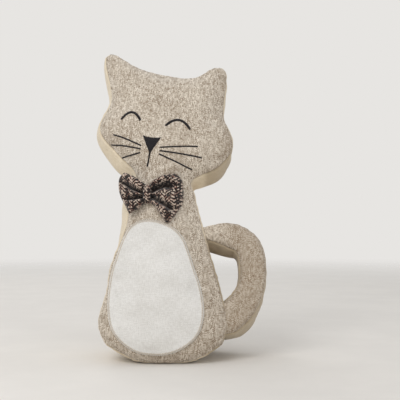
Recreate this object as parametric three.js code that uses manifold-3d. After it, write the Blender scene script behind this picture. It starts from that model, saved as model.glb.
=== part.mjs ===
// A cat-shaped fabric door stop: a tweed front panel and back panel, a cotton gusset between
// them around a sealed, weighted filling, a stuffed tail sewn to one side, and a bow tie.
// Units are millimetres, +Z is up, the front faces -Y and X runs to the viewer's right.
//
// The pieces are drawn flat first, in panel space: x across, y up the front panel from its
// bottom seam, z out of the seam plane towards the viewer. leanBack then stands them up.

import * as THREE from "three";
import { mergeVertices } from "three/addons/utils/BufferGeometryUtils.js";
import Module from "manifold-3d";

const wasm = await Module();
wasm.setup();

// Stance
const PANEL_RAKE = 12; // degrees that the front panel leans back
const BASE_DEPTH = 84; // gusset width along the floor
const HEAD_DEPTH = 46; // gusset width around the head
const SEAM_LIFT = 2; // front bottom seam above the floor

// Cloth
const CLOTH = 1.2; // tweed panel thickness
const APPLIQUE = 0.8; // belly patch thickness
const STITCHING = 0.9; // thickness of the satin stitch
const CLEARANCE = 0.3; // gap between pieces that touch
const BODY_CROWN = 0.36; // crown height over half width
const BACK_CROWN = 0.26;
const TAIL_CROWN = 0.5;
const BODY_BULGE = 1.5; // how far the gusset swells past its seams below the chest
const THROAT_BULGE = 12; // and to the left of the throat
const CHEEK_BULGE = 8; // and around the left cheek
const EAR_BULGE = 3.5; // and beside the left ear
const LEFTWARD = [-0.6, 0.4]; // outward directions between which the left's swell dies away
const JAW_SAG = 8; // and under the cheeks
const BASE_SAG = 7; // how far the gusset would hang below the base, if the floor let it
const DOWNWARD = [0.5, 0.95];
const TAIL_BULGE = 1;
const TAIL_SAG = 10; // how far the gusset sags under the top of the tail
const NECK_PINCH = 13; // how far above and below the neck the gusset is drawn in

// Body outline: half widths and heights from the bottom seam
const BASE_FLAT_HALF = 26;
const BASE_TURN_HALF = 46; // where the bottom seam starts to rise
const BASE_TURN_HEIGHT = 8;
const BASE_CORNER_LEFT = 65.5;
const BASE_CORNER_RIGHT = 62;
const BASE_CORNER_HEIGHT = 18.5;
const HIP_LEFT = 73.8;
const HIP_RIGHT = 67.8;
const HIP_HEIGHT = 40;
const WAIST_LEFT = 65;
const WAIST_RIGHT = 61.5;
const WAIST_HEIGHT = 76;
const FLANK_LEFT = 60.5;
const FLANK_RIGHT = 54.5;
const FLANK_HEIGHT = 104;
const CHEST_LEFT = 44.2;
const CHEST_RIGHT = 43.4;
const CHEST_HEIGHT = 147;
const THROAT_LEFT = 37.5;
const THROAT_RIGHT = 35.8;
const THROAT_HEIGHT = 186;
const NECK_HALF = 33.4;
const NECK_HEIGHT = 205;
const BODY_LEAN = 1.4; // degrees that the body's axis leans to the left

// Head outline, in the head's own frame: from the middle of the neck, turned by HEAD_TILT
const HEAD_TILT = 8; // degrees clockwise
const JAW_LEFT = 57;
const JAW_RIGHT = 60;
const JAW_HEIGHT = 20.5;
const CHEEK_LEFT = 83.3;
const CHEEK_RIGHT = 74.8;
const CHEEK_HEIGHT = 48;
const TEMPLE_LEFT = 75.5;
const TEMPLE_RIGHT = 59;
const TEMPLE_HEIGHT = 85;
const EAR_LEFT = 82; // middle of the round ear tip
const EAR_RIGHT = 45.5;
const EAR_HEIGHT = 134.7;
const EAR_TIP_LEFT = 9.5; // radius of the round ear tip
const EAR_TIP_RIGHT = 10.3;
const EAR_SIDE = 15; // directions of the points on the round ear tip, in degrees
const EAR_TOP = 70;
const EAR_INSIDE = 125;
const EAR_FOOT_LEFT = 49; // where the ear runs into the crown of the head
const EAR_FOOT_RIGHT = 23.5;
const CROWN_LEFT = 129; // crown line height at the foot of the left ear
const CROWN_RIGHT = 123;
const CROWN_DIP = 1; // how far the crown line sags between the ears

// Tail
const TAIL_ROOT_HEIGHT = 45.5;
const TAIL_TIP_HEIGHT = 142.2;
const TAIL_REACH = 29.2; // middle line of the tail past the hip
const TAIL_BEND_HEIGHT = 101;
const TAIL_ROOT_WIDTH = 36;
const TAIL_WIDTH = 31;
const TAIL_TIP_WIDTH = 15;
const TAIL_ROOT_END = 0.35; // share of its length by which it has its full width
const TAIL_TAPER = [0.8, 1.04]; // shares of its length over which it narrows to the tip
const ROOT_HANDLE = [0.55, 0.2]; // handles of the middle line, as shares of its run and rise
const BEND_HANDLES = [0.52, 0.85];
const TIP_HANDLE = 0.3;
const TAIL_SETBACK = 8; // tail seam behind the body's front seam
const TAIL_DEPTH = 60;
const TAIL_RUN_ON = 5.5; // length added inside the body before the tail is trimmed to it
const TAIL_SKEW = 4.5; // how far to the right of the front the tail's back lies

// Belly patch
const PATCH_WIDTH = 101;
const PATCH_BOTTOM = 8;
const PATCH_BELOW_NECK = 53; // top of the patch
const PATCH_SHIFT = -9; // middle of the patch to the left of the body's axis
const PATCH_WIDEST = 55; // height of its widest line above its bottom
const PATCH_LEAN = 14; // how far its top leans to the left
const PATCH_EARLY_LEAN = 0.25; // share of the lean that comes early on the way up
const PATCH_EARLY = 0.35;
const PATCH_LATE = 8; // how late the rest comes
const PATCH_TAPER = 0.26; // how much the upper half narrows

// Face, from the middle of the face in the head's own frame
const FACE_SHIFT = -17.8;
const EYE_LEFT_SPAN = 22.5;
const EYE_RIGHT_SPAN = 27.8;
const EYE_RISE = 9;
const EYE_SPACING = 27.3; // from the middle of the face to the middle of an eye
const EYE_LEFT_HEIGHT = 57.3;
const EYE_RIGHT_HEIGHT = 54.3;
const EYE_HANDLES = [
  [-0.2, 1.3], // shares of its span and rise
  [0.15, 1.4],
];
const EYE_STROKE = 3;
const STROKE_END = 0.6; // width of a stroke at its ends, as a share
const NOSE_WIDTH = 20;
const NOSE_TOP = 39.6;
const NOSE_DEPTH = 19;
const NOSE_MIDDLE = 0.56; // share of its width halfway down
const NOSE_HOLLOW = 1; // dip in the middle of its top edge
const MOUTH_LENGTH = 13.5;
const MOUTH_DRIFT = 0.7; // to the left on its way down
const MOUTH_STROKE = 2.2;
const WHISKER_STROKE = 1.9;
const WHISKER_START = 10.8; // inner ends from the middle of the face
const WHISKER_TOP = 28.6; // height of the topmost inner end
const WHISKER_BEND = 0.6; // share of its rise that a whisker has halfway out
const WHISKER_PITCH = 3.7; // drop from one inner end to the next
const WHISKER_REACH_LEFT = [34.6, 36, 21.5];
const WHISKER_RISE_LEFT = [11.2, 5, -4.8];
const WHISKER_REACH_RIGHT = [41.7, 47.8, 38.6];
const WHISKER_RISE_RIGHT = [7.6, 0, -10.6];

// Bow tie, from the middle of its knot
const KNOT_ACROSS = -20.5; // from the body's middle line
const KNOT_BELOW_NECK = 25.5;
const KNOT_WIDTH = 12;
const KNOT_LENGTH = 20;
const KNOT_DEPTH = 15;
const WING_LEFT_SPAN = 33.5;
const WING_RIGHT_SPAN = 40;
const WING_LEFT_RISE = 26.5; // upper corner above the knot
const WING_RIGHT_RISE = 21.5;
const WING_LEFT_DROP = 21.5; // lower corner below the knot
const WING_RIGHT_DROP = 36;
const WING_DEPTH = 12;
const WING_FOLD = 4; // depth of a fold line in a wing
const WING_ROOT = 17; // width of a wing beside the knot
const WING_MOUTH = [
  [0.6, -1], // shares of its span, and of its drop or rise
  [0.86, -0.5],
  [1, 0.15],
  [0.97, 0.65],
  [0.78, 1],
];
const WING_FOLDS = [0.3, 0.64]; // where the folds run, as shares of its width
const FOLD_WIDTH = 0.06;
const FOLD_FADE = 1.1; // how far out the folds die away
const WING_RIM = 0.04; // share of its width that its edges are cut back by
const WING_SLIM = 0.75; // thickness beside the knot, as a share
const WING_FULL = 0.8; // how far out the swell turns down again
const KNOT_SUNK = 3; // how far the knot's middle is sunk into the cloth behind it

// Mesh fineness
const BODY_COLUMNS = 14;
const ROWS_PER_SPAN = 3;
const GUSSET_ROWS = 4;
const TAIL_COLUMNS = 6;
const TAIL_ROWS = 20;

const rad = THREE.MathUtils.degToRad;
const lerp = THREE.MathUtils.lerp;
const smooth = THREE.MathUtils.smoothstep;
const point = (x, y) => new THREE.Vector3(x, y, 0);
const curveThrough = (points) => new THREE.CatmullRomCurve3(points, false, "centripetal");

// Outline of the body and head

const bodyAxis = (height) => -Math.tan(rad(BODY_LEAN)) * (height - HIP_HEIGHT);

// Turns a point of the head's own frame into panel space.
function headPoint(across, up) {
  const tilt = rad(HEAD_TILT);
  return point(
    bodyAxis(NECK_HEIGHT) + across * Math.cos(tilt) + up * Math.sin(tilt),
    NECK_HEIGHT - across * Math.sin(tilt) + up * Math.cos(tilt),
  );
}

// A point of a round ear tip, at an angle from the level, side -1 for the left ear.
function earPoint(side, angle) {
  const middle = side < 0 ? -EAR_LEFT : EAR_RIGHT;
  const radius = side < 0 ? EAR_TIP_LEFT : EAR_TIP_RIGHT;
  return headPoint(
    middle + side * radius * Math.cos(rad(angle)),
    EAR_HEIGHT + radius * Math.sin(rad(angle)),
  );
}

// One side of the outline, from the base corner to the top of the ear tip.
function sideCurve(side) {
  const across = (left, right) => (side < 0 ? -left : right);
  const body = (left, right, height) => point(bodyAxis(height) + across(left, right), height);
  const head = (left, right, up) => headPoint(across(left, right), up);
  return curveThrough([
    body(BASE_CORNER_LEFT, BASE_CORNER_RIGHT, BASE_CORNER_HEIGHT),
    body(HIP_LEFT, HIP_RIGHT, HIP_HEIGHT),
    body(WAIST_LEFT, WAIST_RIGHT, WAIST_HEIGHT),
    body(FLANK_LEFT, FLANK_RIGHT, FLANK_HEIGHT),
    body(CHEST_LEFT, CHEST_RIGHT, CHEST_HEIGHT),
    body(THROAT_LEFT, THROAT_RIGHT, THROAT_HEIGHT),
    headPoint(side * NECK_HALF, 0),
    head(JAW_LEFT, JAW_RIGHT, JAW_HEIGHT),
    head(CHEEK_LEFT, CHEEK_RIGHT, CHEEK_HEIGHT),
    head(TEMPLE_LEFT, TEMPLE_RIGHT, TEMPLE_HEIGHT),
    earPoint(side, EAR_SIDE),
    earPoint(side, EAR_TOP),
  ]);
}

const leftSide = sideCurve(-1);
const rightSide = sideCurve(1);
const bodyRows = (leftSide.points.length - 1) * ROWS_PER_SPAN;

const bottomEdge = curveThrough([
  leftSide.getPoint(0),
  point(-BASE_TURN_HALF, BASE_TURN_HEIGHT),
  point(-BASE_FLAT_HALF, 0),
  point(BASE_FLAT_HALF, 0),
  point(BASE_TURN_HALF, BASE_TURN_HEIGHT),
  rightSide.getPoint(0),
]);

const topEdge = curveThrough([
  leftSide.getPoint(1),
  earPoint(-1, EAR_INSIDE),
  earPoint(-1, 150),
  headPoint(-EAR_FOOT_LEFT, CROWN_LEFT),
  headPoint((EAR_FOOT_RIGHT - EAR_FOOT_LEFT) / 2, (CROWN_LEFT + CROWN_RIGHT) / 2 - CROWN_DIP),
  headPoint(EAR_FOOT_RIGHT, CROWN_RIGHT),
  earPoint(1, 150),
  earPoint(1, EAR_INSIDE),
  rightSide.getPoint(1),
]);

// Where the body's right side seam lies at a height.
function rightSideAt(height) {
  let along = 0;
  while (rightSide.getPoint(along).y < height) along += 0.002;
  return rightSide.getPoint(along);
}

// Grids

// Rows of points that fill the space between four side curves. The rows run from side to
// side, and bend towards the bottom and top curves only near them, so that none folds over
// at a narrow neck.
function fillGrid(left, right, bottom, top, columns, rows) {
  const fade = 4;
  const bendOf = (curve, u) =>
    curve.getPoint(u).sub(curve.getPoint(0).lerp(curve.getPoint(1), u));
  const grid = [];
  for (let j = 0; j <= rows; j++) {
    const v = j / rows;
    const row = [];
    for (let i = 0; i <= columns; i++) {
      const u = i / columns;
      const spot = left.getPoint(v).lerp(right.getPoint(v), u);
      spot.addScaledVector(bendOf(bottom, u), (1 - v) ** fade);
      spot.addScaledVector(bendOf(top, u), v ** fade);
      row.push(spot);
    }
    grid.push(row);
  }
  return grid;
}

// The shape that a stuffed panel takes over its outline: a membrane under even pressure,
// relaxed on the grid. On a long strip it is the half circle over the strip's width.
function inflate(grid) {
  const rows = grid.length - 1;
  const columns = grid[0].length - 1;
  const lift = grid.map((row) => row.map(() => 0));
  const sweeps = 400;
  const overshoot = 1.6;
  for (let sweep = 0; sweep < sweeps; sweep++) {
    for (let j = 1; j < rows; j++) {
      for (let i = 1; i < columns; i++) {
        const here = grid[j][i];
        const west = here.distanceTo(grid[j][i - 1]);
        const east = here.distanceTo(grid[j][i + 1]);
        const south = here.distanceTo(grid[j - 1][i]);
        const north = here.distanceTo(grid[j + 1][i]);
        const width = (west + east) / 2;
        const height = (south + north) / 2;
        const pulls = height / west + height / east + width / south + width / north;
        const settled =
          ((lift[j][i - 1] / west + lift[j][i + 1] / east) * height +
            (lift[j - 1][i] / south + lift[j + 1][i] / north) * width +
            width * height) /
          pulls;
        lift[j][i] += overshoot * (settled - lift[j][i]);
      }
    }
  }
  return lift.map((row) => row.map((value) => Math.sqrt(2 * Math.max(value, 0))));
}

// Row and column of each point around the edge of a grid, anticlockwise from the front.
function rimOf(grid) {
  const rows = grid.length - 1;
  const columns = grid[0].length - 1;
  const rim = [];
  for (let i = 0; i < columns; i++) rim.push([0, i]);
  for (let j = 0; j < rows; j++) rim.push([j, columns]);
  for (let i = columns; i > 0; i--) rim.push([rows, i]);
  for (let j = rows; j > 0; j--) rim.push([j, 0]);
  return rim;
}

// Outward directions around the rim. Eased ones lose length at tight bends.
function rimNormals(grid, rim, easing) {
  const count = rim.length;
  const at = (k) => grid[rim[(k + count) % count][0]][rim[(k + count) % count][1]];
  let normals = rim.map((_, k) => {
    const along = at(k + 1).clone().sub(at(k - 1));
    return point(along.y, -along.x).normalize();
  });
  for (let pass = 0; pass < easing; pass++) {
    const last = normals;
    normals = last.map((normal, k) =>
      last[(k + count - 1) % count]
        .clone()
        .add(normal)
        .add(normal)
        .add(last[(k + 1) % count])
        .divideScalar(4),
    );
  }
  return normals;
}

// A closed body over a grid: front and back faces at the heights that two functions give for
// a row and column, and a side wall that swells out between them.
function gridBody(grid, front, back, { bulge = () => 0, wallRows = 1, outset = 0 } = {}) {
  const rows = grid.length - 1;
  const columns = grid[0].length - 1;
  const rim = rimOf(grid);
  const square = rimNormals(grid, rim, 0);
  const eased = rimNormals(grid, rim, 3);
  const outsets = new Map(rim.map(([j, i], k) => [j * (columns + 1) + i, square[k]]));
  const positions = [];
  const faces = [];
  const size = (columns + 1) * (rows + 1);
  for (const heightOf of [front, back]) {
    for (let j = 0; j <= rows; j++) {
      for (let i = 0; i <= columns; i++) {
        const spot = grid[j][i].clone();
        const normal = outsets.get(j * (columns + 1) + i);
        if (normal) spot.addScaledVector(normal, outset);
        positions.push(spot.x, spot.y, heightOf(j, i));
      }
    }
  }
  for (let j = 0; j < rows; j++) {
    for (let i = 0; i < columns; i++) {
      const a = j * (columns + 1) + i;
      const b = a + 1;
      const c = a + columns + 2;
      const d = a + columns + 1;
      faces.push(a, b, c, a, c, d);
      faces.push(size + a, size + c, size + b, size + a, size + d, size + c);
    }
  }
  const rings = [rim.map(([j, i]) => j * (columns + 1) + i)];
  for (let step = 1; step < wallRows; step++) {
    const t = step / wallRows;
    rings.push(
      rim.map(([j, i], k) => {
        const swell = bulge(grid[j][i].y, eased[k]) * Math.sin(Math.PI * t);
        const spot = grid[j][i]
          .clone()
          .addScaledVector(square[k], outset)
          .addScaledVector(eased[k], swell);
        positions.push(spot.x, spot.y, lerp(front(j, i), back(j, i), t));
        return positions.length / 3 - 1;
      }),
    );
  }
  rings.push(rings[0].map((index) => index + size));
  for (let step = 0; step < wallRows; step++) {
    for (let k = 0; k < rim.length; k++) {
      const next = (k + 1) % rim.length;
      const [a, b] = [rings[step][k], rings[step][next]];
      const [c, d] = [rings[step + 1][next], rings[step + 1][k]];
      faces.push(a, c, b, a, d, c);
    }
  }
  return solidFrom(positions, faces);
}

// Solids

function solidFrom(positions, faces) {
  return new wasm.Manifold(
    new wasm.Mesh({
      numProp: 3,
      vertProperties: new Float32Array(positions),
      triVerts: new Uint32Array(faces),
    }),
  );
}

function solidOf(geometry) {
  const bare = geometry.clone();
  bare.deleteAttribute("normal");
  bare.deleteAttribute("uv");
  const merged = mergeVertices(bare, 1e-4);
  return solidFrom(merged.attributes.position.array, merged.index.array);
}

// Depth of the gusset at a height: deep on the floor, slimmer around the head.
const depthAt = (height) =>
  lerp(BASE_DEPTH, HEAD_DEPTH, smooth(height, 0, NECK_HEIGHT));

// Stands a point of panel space up. Depth runs square to the leaning front panel, but the
// body's turns level towards the floor, and nothing goes below the floor.
function leanBack(spot, levelBelow) {
  const rake = rad(PANEL_RAKE);
  const turn = levelBelow > 0 ? rake * (1 - smooth(spot.y, 0, levelBelow)) : 0;
  const up = spot.y - spot.z * Math.sin(turn);
  const behind = -spot.z * Math.cos(turn);
  return new THREE.Vector3(
    spot.x,
    -BASE_DEPTH / 2 + up * Math.sin(rake) + behind * Math.cos(rake),
    Math.max(0, SEAM_LIFT + up * Math.cos(rake) - behind * Math.sin(rake)),
  );
}

function stoodUp(solid, levelBelow = CHEST_HEIGHT) {
  const mesh = solid.getMesh();
  const positions = [];
  for (let k = 0; k < mesh.vertProperties.length; k += mesh.numProp) {
    const [x, y, z] = mesh.vertProperties.subarray(k, k + 3);
    positions.push(...leanBack(new THREE.Vector3(x, y, z), levelBelow));
  }
  return solidFrom(positions, mesh.triVerts);
}

function meshOf(name, material, solid) {
  const mesh = solid.getMesh();
  const geometry = new THREE.BufferGeometry();
  geometry.setAttribute("position", new THREE.BufferAttribute(mesh.vertProperties, mesh.numProp));
  geometry.setIndex(Array.from(mesh.triVerts));
  geometry.computeVertexNormals();
  const piece = new THREE.Mesh(geometry, material);
  piece.name = name;
  return piece;
}

const standingMesh = (name, material, solid) => meshOf(name, material, stoodUp(solid));

// Body and its panels

const bodyGrid = fillGrid(leftSide, rightSide, bottomEdge, topEdge, BODY_COLUMNS, bodyRows);
const bodyLift = inflate(bodyGrid);
const bodyFront = (j, i) => BODY_CROWN * bodyLift[j][i];
const bodyBack = (j, i) => -depthAt(bodyGrid[j][i].y) - BACK_CROWN * bodyLift[j][i];

// How far the gusset swells at a height, on the side that its outward direction faces.
function bodyBulge(height, outward) {
  const throat = lerp(BODY_BULGE, THROAT_BULGE, smooth(height, FLANK_HEIGHT, THROAT_HEIGHT));
  const cheek = lerp(throat, CHEEK_BULGE, smooth(height, THROAT_HEIGHT, NECK_HEIGHT));
  const ear = NECK_HEIGHT + TEMPLE_HEIGHT;
  const left = lerp(cheek, EAR_BULGE, smooth(height, NECK_HEIGHT + CHEEK_HEIGHT, ear));
  const pinch = Math.exp(-(((height - NECK_HEIGHT) / NECK_PINCH) ** 2));
  const right = lerp(left, BODY_BULGE, smooth(outward.x, ...LEFTWARD));
  const jaw = smooth(-outward.y, ...DOWNWARD) * smooth(height, THROAT_HEIGHT, NECK_HEIGHT);
  const side = lerp(right, JAW_SAG, jaw) * (1 - pinch);
  const base = smooth(-outward.y, ...DOWNWARD) * smooth(-height, -BASE_CORNER_HEIGHT, 0);
  return lerp(side, BASE_SAG, base);
}

const panelFace = CLEARANCE + CLOTH; // outer face of a panel above the filled body

// The space between two levels over the front of the filled body.
const frontLayer = (low, high) =>
  gridBody(
    bodyGrid,
    (j, i) => bodyFront(j, i) + high,
    (j, i) => bodyFront(j, i) + low,
  );

const filledBody = gridBody(bodyGrid, bodyFront, bodyBack, {
  bulge: bodyBulge,
  wallRows: GUSSET_ROWS,
});

const frontPanel = frontLayer(CLEARANCE, panelFace);

const backPanel = gridBody(
  bodyGrid,
  (j, i) => bodyBack(j, i) - CLEARANCE,
  (j, i) => bodyBack(j, i) - panelFace,
);

// The body with its panels, grown by a clearance: what the pieces sewn to it are fitted to.
const bodyRoom = (clearance) =>
  gridBody(
    bodyGrid,
    (j, i) => bodyFront(j, i) + panelFace + clearance,
    (j, i) => bodyBack(j, i) - panelFace - clearance,
    { bulge: bodyBulge, wallRows: GUSSET_ROWS, outset: clearance },
  );

// Tail: a cushion along a middle line that leaves the hip, bends up and comes back

const tailRoot = rightSideAt(TAIL_ROOT_HEIGHT);
const tailTip = rightSideAt(TAIL_TIP_HEIGHT);
const tailBend = point(rightSideAt(HIP_HEIGHT).x + TAIL_REACH, TAIL_BEND_HEIGHT);
const rootRun = tailBend.x - tailRoot.x;
const rootRise = tailBend.y - tailRoot.y;
const tipRun = tailBend.x - tailTip.x;
const tipRise = tailTip.y - tailBend.y;

const tailLine = new THREE.CurvePath();
tailLine.add(
  new THREE.CubicBezierCurve3(
    tailRoot,
    point(tailRoot.x + ROOT_HANDLE[0] * rootRun, tailRoot.y + ROOT_HANDLE[1] * rootRise),
    point(tailBend.x, tailBend.y - BEND_HANDLES[0] * rootRise),
    tailBend,
  ),
);
tailLine.add(
  new THREE.CubicBezierCurve3(
    tailBend,
    point(tailBend.x, tailBend.y + BEND_HANDLES[1] * tipRise),
    point(tailBend.x - TIP_HANDLE * tipRun, tailTip.y),
    tailTip,
  ),
);

// Width of the tail along its length, 0 at the root and 1 at the tip.
function tailWidth(along) {
  const low = lerp(TAIL_ROOT_WIDTH, TAIL_WIDTH, smooth(along, 0, TAIL_ROOT_END));
  return lerp(low, TAIL_TIP_WIDTH, smooth(along, ...TAIL_TAPER));
}

// Inner and outer edges, run on into the body at both ends so that its side can trim them.
function tailEdge(side) {
  const steps = TAIL_ROWS - 2;
  const points = [];
  for (let k = -1; k <= steps + 1; k++) {
    const along = THREE.MathUtils.clamp(k / steps, 0, 1);
    const spot = tailLine.getPointAt(along);
    const heading = tailLine.getTangentAt(along);
    const beyond = k < 0 ? -TAIL_RUN_ON : k > steps ? TAIL_RUN_ON : 0;
    spot.addScaledVector(heading, beyond);
    spot.addScaledVector(point(heading.y, -heading.x), (side * tailWidth(along)) / 2);
    points.push(spot);
  }
  return curveThrough(points);
}

const tailInner = tailEdge(-1);
const tailOuter = tailEdge(1);
const acrossTail = (along) => new THREE.LineCurve3(tailInner.getPoint(along), tailOuter.getPoint(along));
const tailGrid = fillGrid(
  tailInner,
  tailOuter,
  acrossTail(0),
  acrossTail(1),
  TAIL_COLUMNS,
  TAIL_ROWS,
);
const tailLift = inflate(tailGrid);
const tailFront = (j, i) => TAIL_CROWN * tailLift[j][i] - TAIL_SETBACK;
const tailBack = (j, i) => -TAIL_CROWN * tailLift[j][i] - TAIL_SETBACK - TAIL_DEPTH;
const standingRoom = stoodUp(bodyRoom(CLEARANCE));

// Slides the tail's back to the right of its front, stands it up and trims it to the body.
function trimmedTail(...shape) {
  const slide = -TAIL_SKEW / TAIL_DEPTH;
  const skew = new THREE.Matrix4().set(
    ...[1, 0, slide, slide * TAIL_SETBACK],
    ...[0, 1, 0, 0],
    ...[0, 0, 1, 0],
    ...[0, 0, 0, 1],
  );
  const skewed = gridBody(tailGrid, ...shape).transform(skew.elements);
  return stoodUp(skewed, 0).subtract(standingRoom);
}

// The gusset sags where it faces down from under the top of the tail.
function tailBulge(height, outward) {
  const under = smooth(-outward.y, ...DOWNWARD) * smooth(height, TAIL_BEND_HEIGHT, TAIL_TIP_HEIGHT);
  return lerp(TAIL_BULGE, TAIL_SAG, under);
}

const filledTail = trimmedTail(tailFront, tailBack, {
  bulge: tailBulge,
  wallRows: GUSSET_ROWS,
});

const tailFrontPanel = trimmedTail(
  (j, i) => tailFront(j, i) + panelFace,
  (j, i) => tailFront(j, i) + CLEARANCE,
);

const tailBackPanel = trimmedTail(
  (j, i) => tailBack(j, i) - CLEARANCE,
  (j, i) => tailBack(j, i) - panelFace,
);

// Applied pieces: an outline pushed through a thin layer over the front panel

function applied(shape, thickness) {
  const far = 2 * (BASE_DEPTH + HEAD_DEPTH);
  const sweep = { depth: far, bevelEnabled: false };
  const prism = solidOf(new THREE.ExtrudeGeometry(shape, sweep));
  const low = panelFace + CLEARANCE;
  return frontLayer(low, low + thickness).intersect(prism.translate([0, 0, -far / 2]));
}

// Belly patch: an egg whose narrow end leans towards the neck.
function patchShape() {
  const half = PATCH_WIDTH / 2;
  const below = PATCH_WIDEST;
  const above = NECK_HEIGHT - PATCH_BELOW_NECK - PATCH_BOTTOM - PATCH_WIDEST;
  const steps = 36;
  const egg = [];
  for (let k = 0; k < steps; k++) {
    const angle = (2 * Math.PI * k) / steps;
    const rise = Math.sin(angle);
    const climb = Math.max(rise, 0);
    const early = PATCH_EARLY_LEAN * smooth(climb, 0, PATCH_EARLY);
    const lean = PATCH_LEAN * (early + (1 - PATCH_EARLY_LEAN) * climb ** PATCH_LATE);
    const taper = 1 - PATCH_TAPER * climb * (1 - climb);
    const x = PATCH_SHIFT + half * taper * Math.cos(angle) - lean;
    egg.push(new THREE.Vector2(x, PATCH_BOTTOM + below + (rise < 0 ? below : above) * rise));
  }
  return new THREE.Shape(egg);
}

// A line of stitching of even width along a curve of the head's own frame, with round ends.
function strokeShape(curve, width, steps) {
  const half = width / 2;
  const outline = [];
  for (const side of [1, -1]) {
    for (let k = 0; k <= steps; k++) {
      const along = side > 0 ? k / steps : 1 - k / steps;
      const spot = curve.getPoint(along);
      const heading = curve.getTangent(along);
      const spread = k === 0 || k === steps ? half * STROKE_END : half;
      outline.push([spot.x + side * heading.y * spread, spot.y - side * heading.x * spread]);
      if (k === steps) {
        outline.push([spot.x + side * heading.x * half, spot.y + side * heading.y * half]);
      }
    }
  }
  return onHead(outline);
}

function onHead(outline) {
  return new THREE.Shape(
    outline.map(([across, up]) => {
      const spot = headPoint(FACE_SHIFT + across, up);
      return new THREE.Vector2(spot.x, spot.y);
    }),
  );
}

const flat = (x, y) => new THREE.Vector2(x, y);

// A closed eye: an arc that bows upwards, a little steeper at its inner end.
function eyeShape(side, span, height) {
  const middle = side * EYE_SPACING;
  const bow = new THREE.CubicBezierCurve(
    flat(middle - span / 2, height),
    ...EYE_HANDLES.map(([along, up]) => flat(middle + span * along, height + EYE_RISE * up)),
    flat(middle + span / 2, height),
  );
  return strokeShape(bow, EYE_STROKE, 10);
}

const noseTip = NOSE_TOP - NOSE_DEPTH;

function noseShape() {
  const half = NOSE_WIDTH / 2;
  return onHead([
    [0, noseTip],
    [half * NOSE_MIDDLE, noseTip + NOSE_DEPTH / 2],
    [half, NOSE_TOP],
    [0, NOSE_TOP - NOSE_HOLLOW],
    [-half, NOSE_TOP],
    [-half * NOSE_MIDDLE, noseTip + NOSE_DEPTH / 2],
  ]);
}

const mouthLine = new THREE.LineCurve(
  flat(0, noseTip - CLEARANCE - MOUTH_STROKE / 2),
  flat(-MOUTH_DRIFT, noseTip - MOUTH_LENGTH),
);

function whiskerShape(side, index) {
  const reach = side < 0 ? WHISKER_REACH_LEFT[index] : WHISKER_REACH_RIGHT[index];
  const rise = side < 0 ? WHISKER_RISE_LEFT[index] : WHISKER_RISE_RIGHT[index];
  const start = flat(side * WHISKER_START, WHISKER_TOP - index * WHISKER_PITCH);
  const end = flat(start.x + side * reach, start.y + rise);
  const sag = flat((start.x + end.x) / 2, start.y + rise * WHISKER_BEND);
  return strokeShape(new THREE.QuadraticBezierCurve(start, sag, end), WHISKER_STROKE, 5);
}

// Bow tie

const knotHeight = NECK_HEIGHT - KNOT_BELOW_NECK;

// Height of the filled body's front at a spot, blended from the grid points around it.
function frontHeightAt(x, y) {
  let total = 0;
  let weights = 0;
  for (let j = 0; j <= bodyRows; j++) {
    for (let i = 0; i <= BODY_COLUMNS; i++) {
      const weight = 1 / ((bodyGrid[j][i].x - x) ** 2 + (bodyGrid[j][i].y - y) ** 2 + 1) ** 2;
      total += weight * bodyFront(j, i);
      weights += weight;
    }
  }
  return total / weights;
}

const knotSeat = frontHeightAt(KNOT_ACROSS, knotHeight) + panelFace;

function knotSolid(growth) {
  const ball = new THREE.SphereGeometry(0.5, 16, 10);
  ball.scale(KNOT_WIDTH + 2 * growth, KNOT_LENGTH + 2 * growth, KNOT_DEPTH + 2 * growth);
  ball.translate(KNOT_ACROSS, knotHeight, knotSeat + KNOT_DEPTH / 2 - KNOT_SUNK);
  return solidOf(ball);
}

// A wing fans out from the knot. Its folds run outwards and are deepest beside the knot.
function wingSolid(side, span, rise, drop) {
  const columns = 8;
  const rows = 14;
  const rootHalf = WING_ROOT / 2;
  const layers = 2 * CLEARANCE + APPLIQUE;
  const spot = (across, up) => point(KNOT_ACROSS + side * across, knotHeight + up);
  const root = new THREE.LineCurve3(spot(0, -rootHalf), spot(0, rootHalf));
  const mouth = curveThrough(
    WING_MOUTH.map(([out, up]) => spot(span * out, (up < 0 ? drop : rise) * up)),
  );
  const lower = new THREE.LineCurve3(root.getPoint(0), mouth.getPoint(0));
  const upper = new THREE.LineCurve3(root.getPoint(1), mouth.getPoint(1));
  const grid =
    side > 0
      ? fillGrid(root, mouth, lower, upper, columns, rows)
      : fillGrid(mouth, root, reversed(lower), reversed(upper), columns, rows);
  const seats = grid.map((row) => row.map(({ x, y }) => frontHeightAt(x, y) + panelFace + layers));
  const outwards = (i) => (side > 0 ? i / columns : 1 - i / columns);
  const top = (j, i) => {
    const v = j / rows;
    const round = Math.sqrt(Math.sin(Math.PI * lerp(WING_RIM, 1 - WING_RIM, v)));
    const crease = WING_FOLDS.reduce(
      (sum, fold) => sum + Math.exp(-(((v - fold) / FOLD_WIDTH) ** 2)),
      0,
    );
    const fold = WING_FOLD * crease * (FOLD_FADE - outwards(i));
    const swell = lerp(WING_SLIM, 1, Math.sin(Math.PI * outwards(i) * WING_FULL));
    return seats[j][i] + WING_DEPTH * round * swell - fold;
  };
  return gridBody(grid, top, (j, i) => seats[j][i] - layers)
    .subtract(knotSolid(CLEARANCE))
    .subtract(bodyRoom(layers));
}

const reversed = (line) => new THREE.LineCurve3(line.v2, line.v1);

// Materials

const cloth = (color, roughness) =>
  new THREE.MeshStandardMaterial({ color, roughness, metalness: 0 });
const tweed = () => cloth(0xb9ac9b, 0.95);
const cotton = () => cloth(0xdccdb0, 0.92);
const patchCotton = () => cloth(0xe1ded7, 0.92);
const bowTweed = () => cloth(0x6e4b3c, 0.95);
const thread = () => cloth(0x141012, 0.6);

// Assembly

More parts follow.
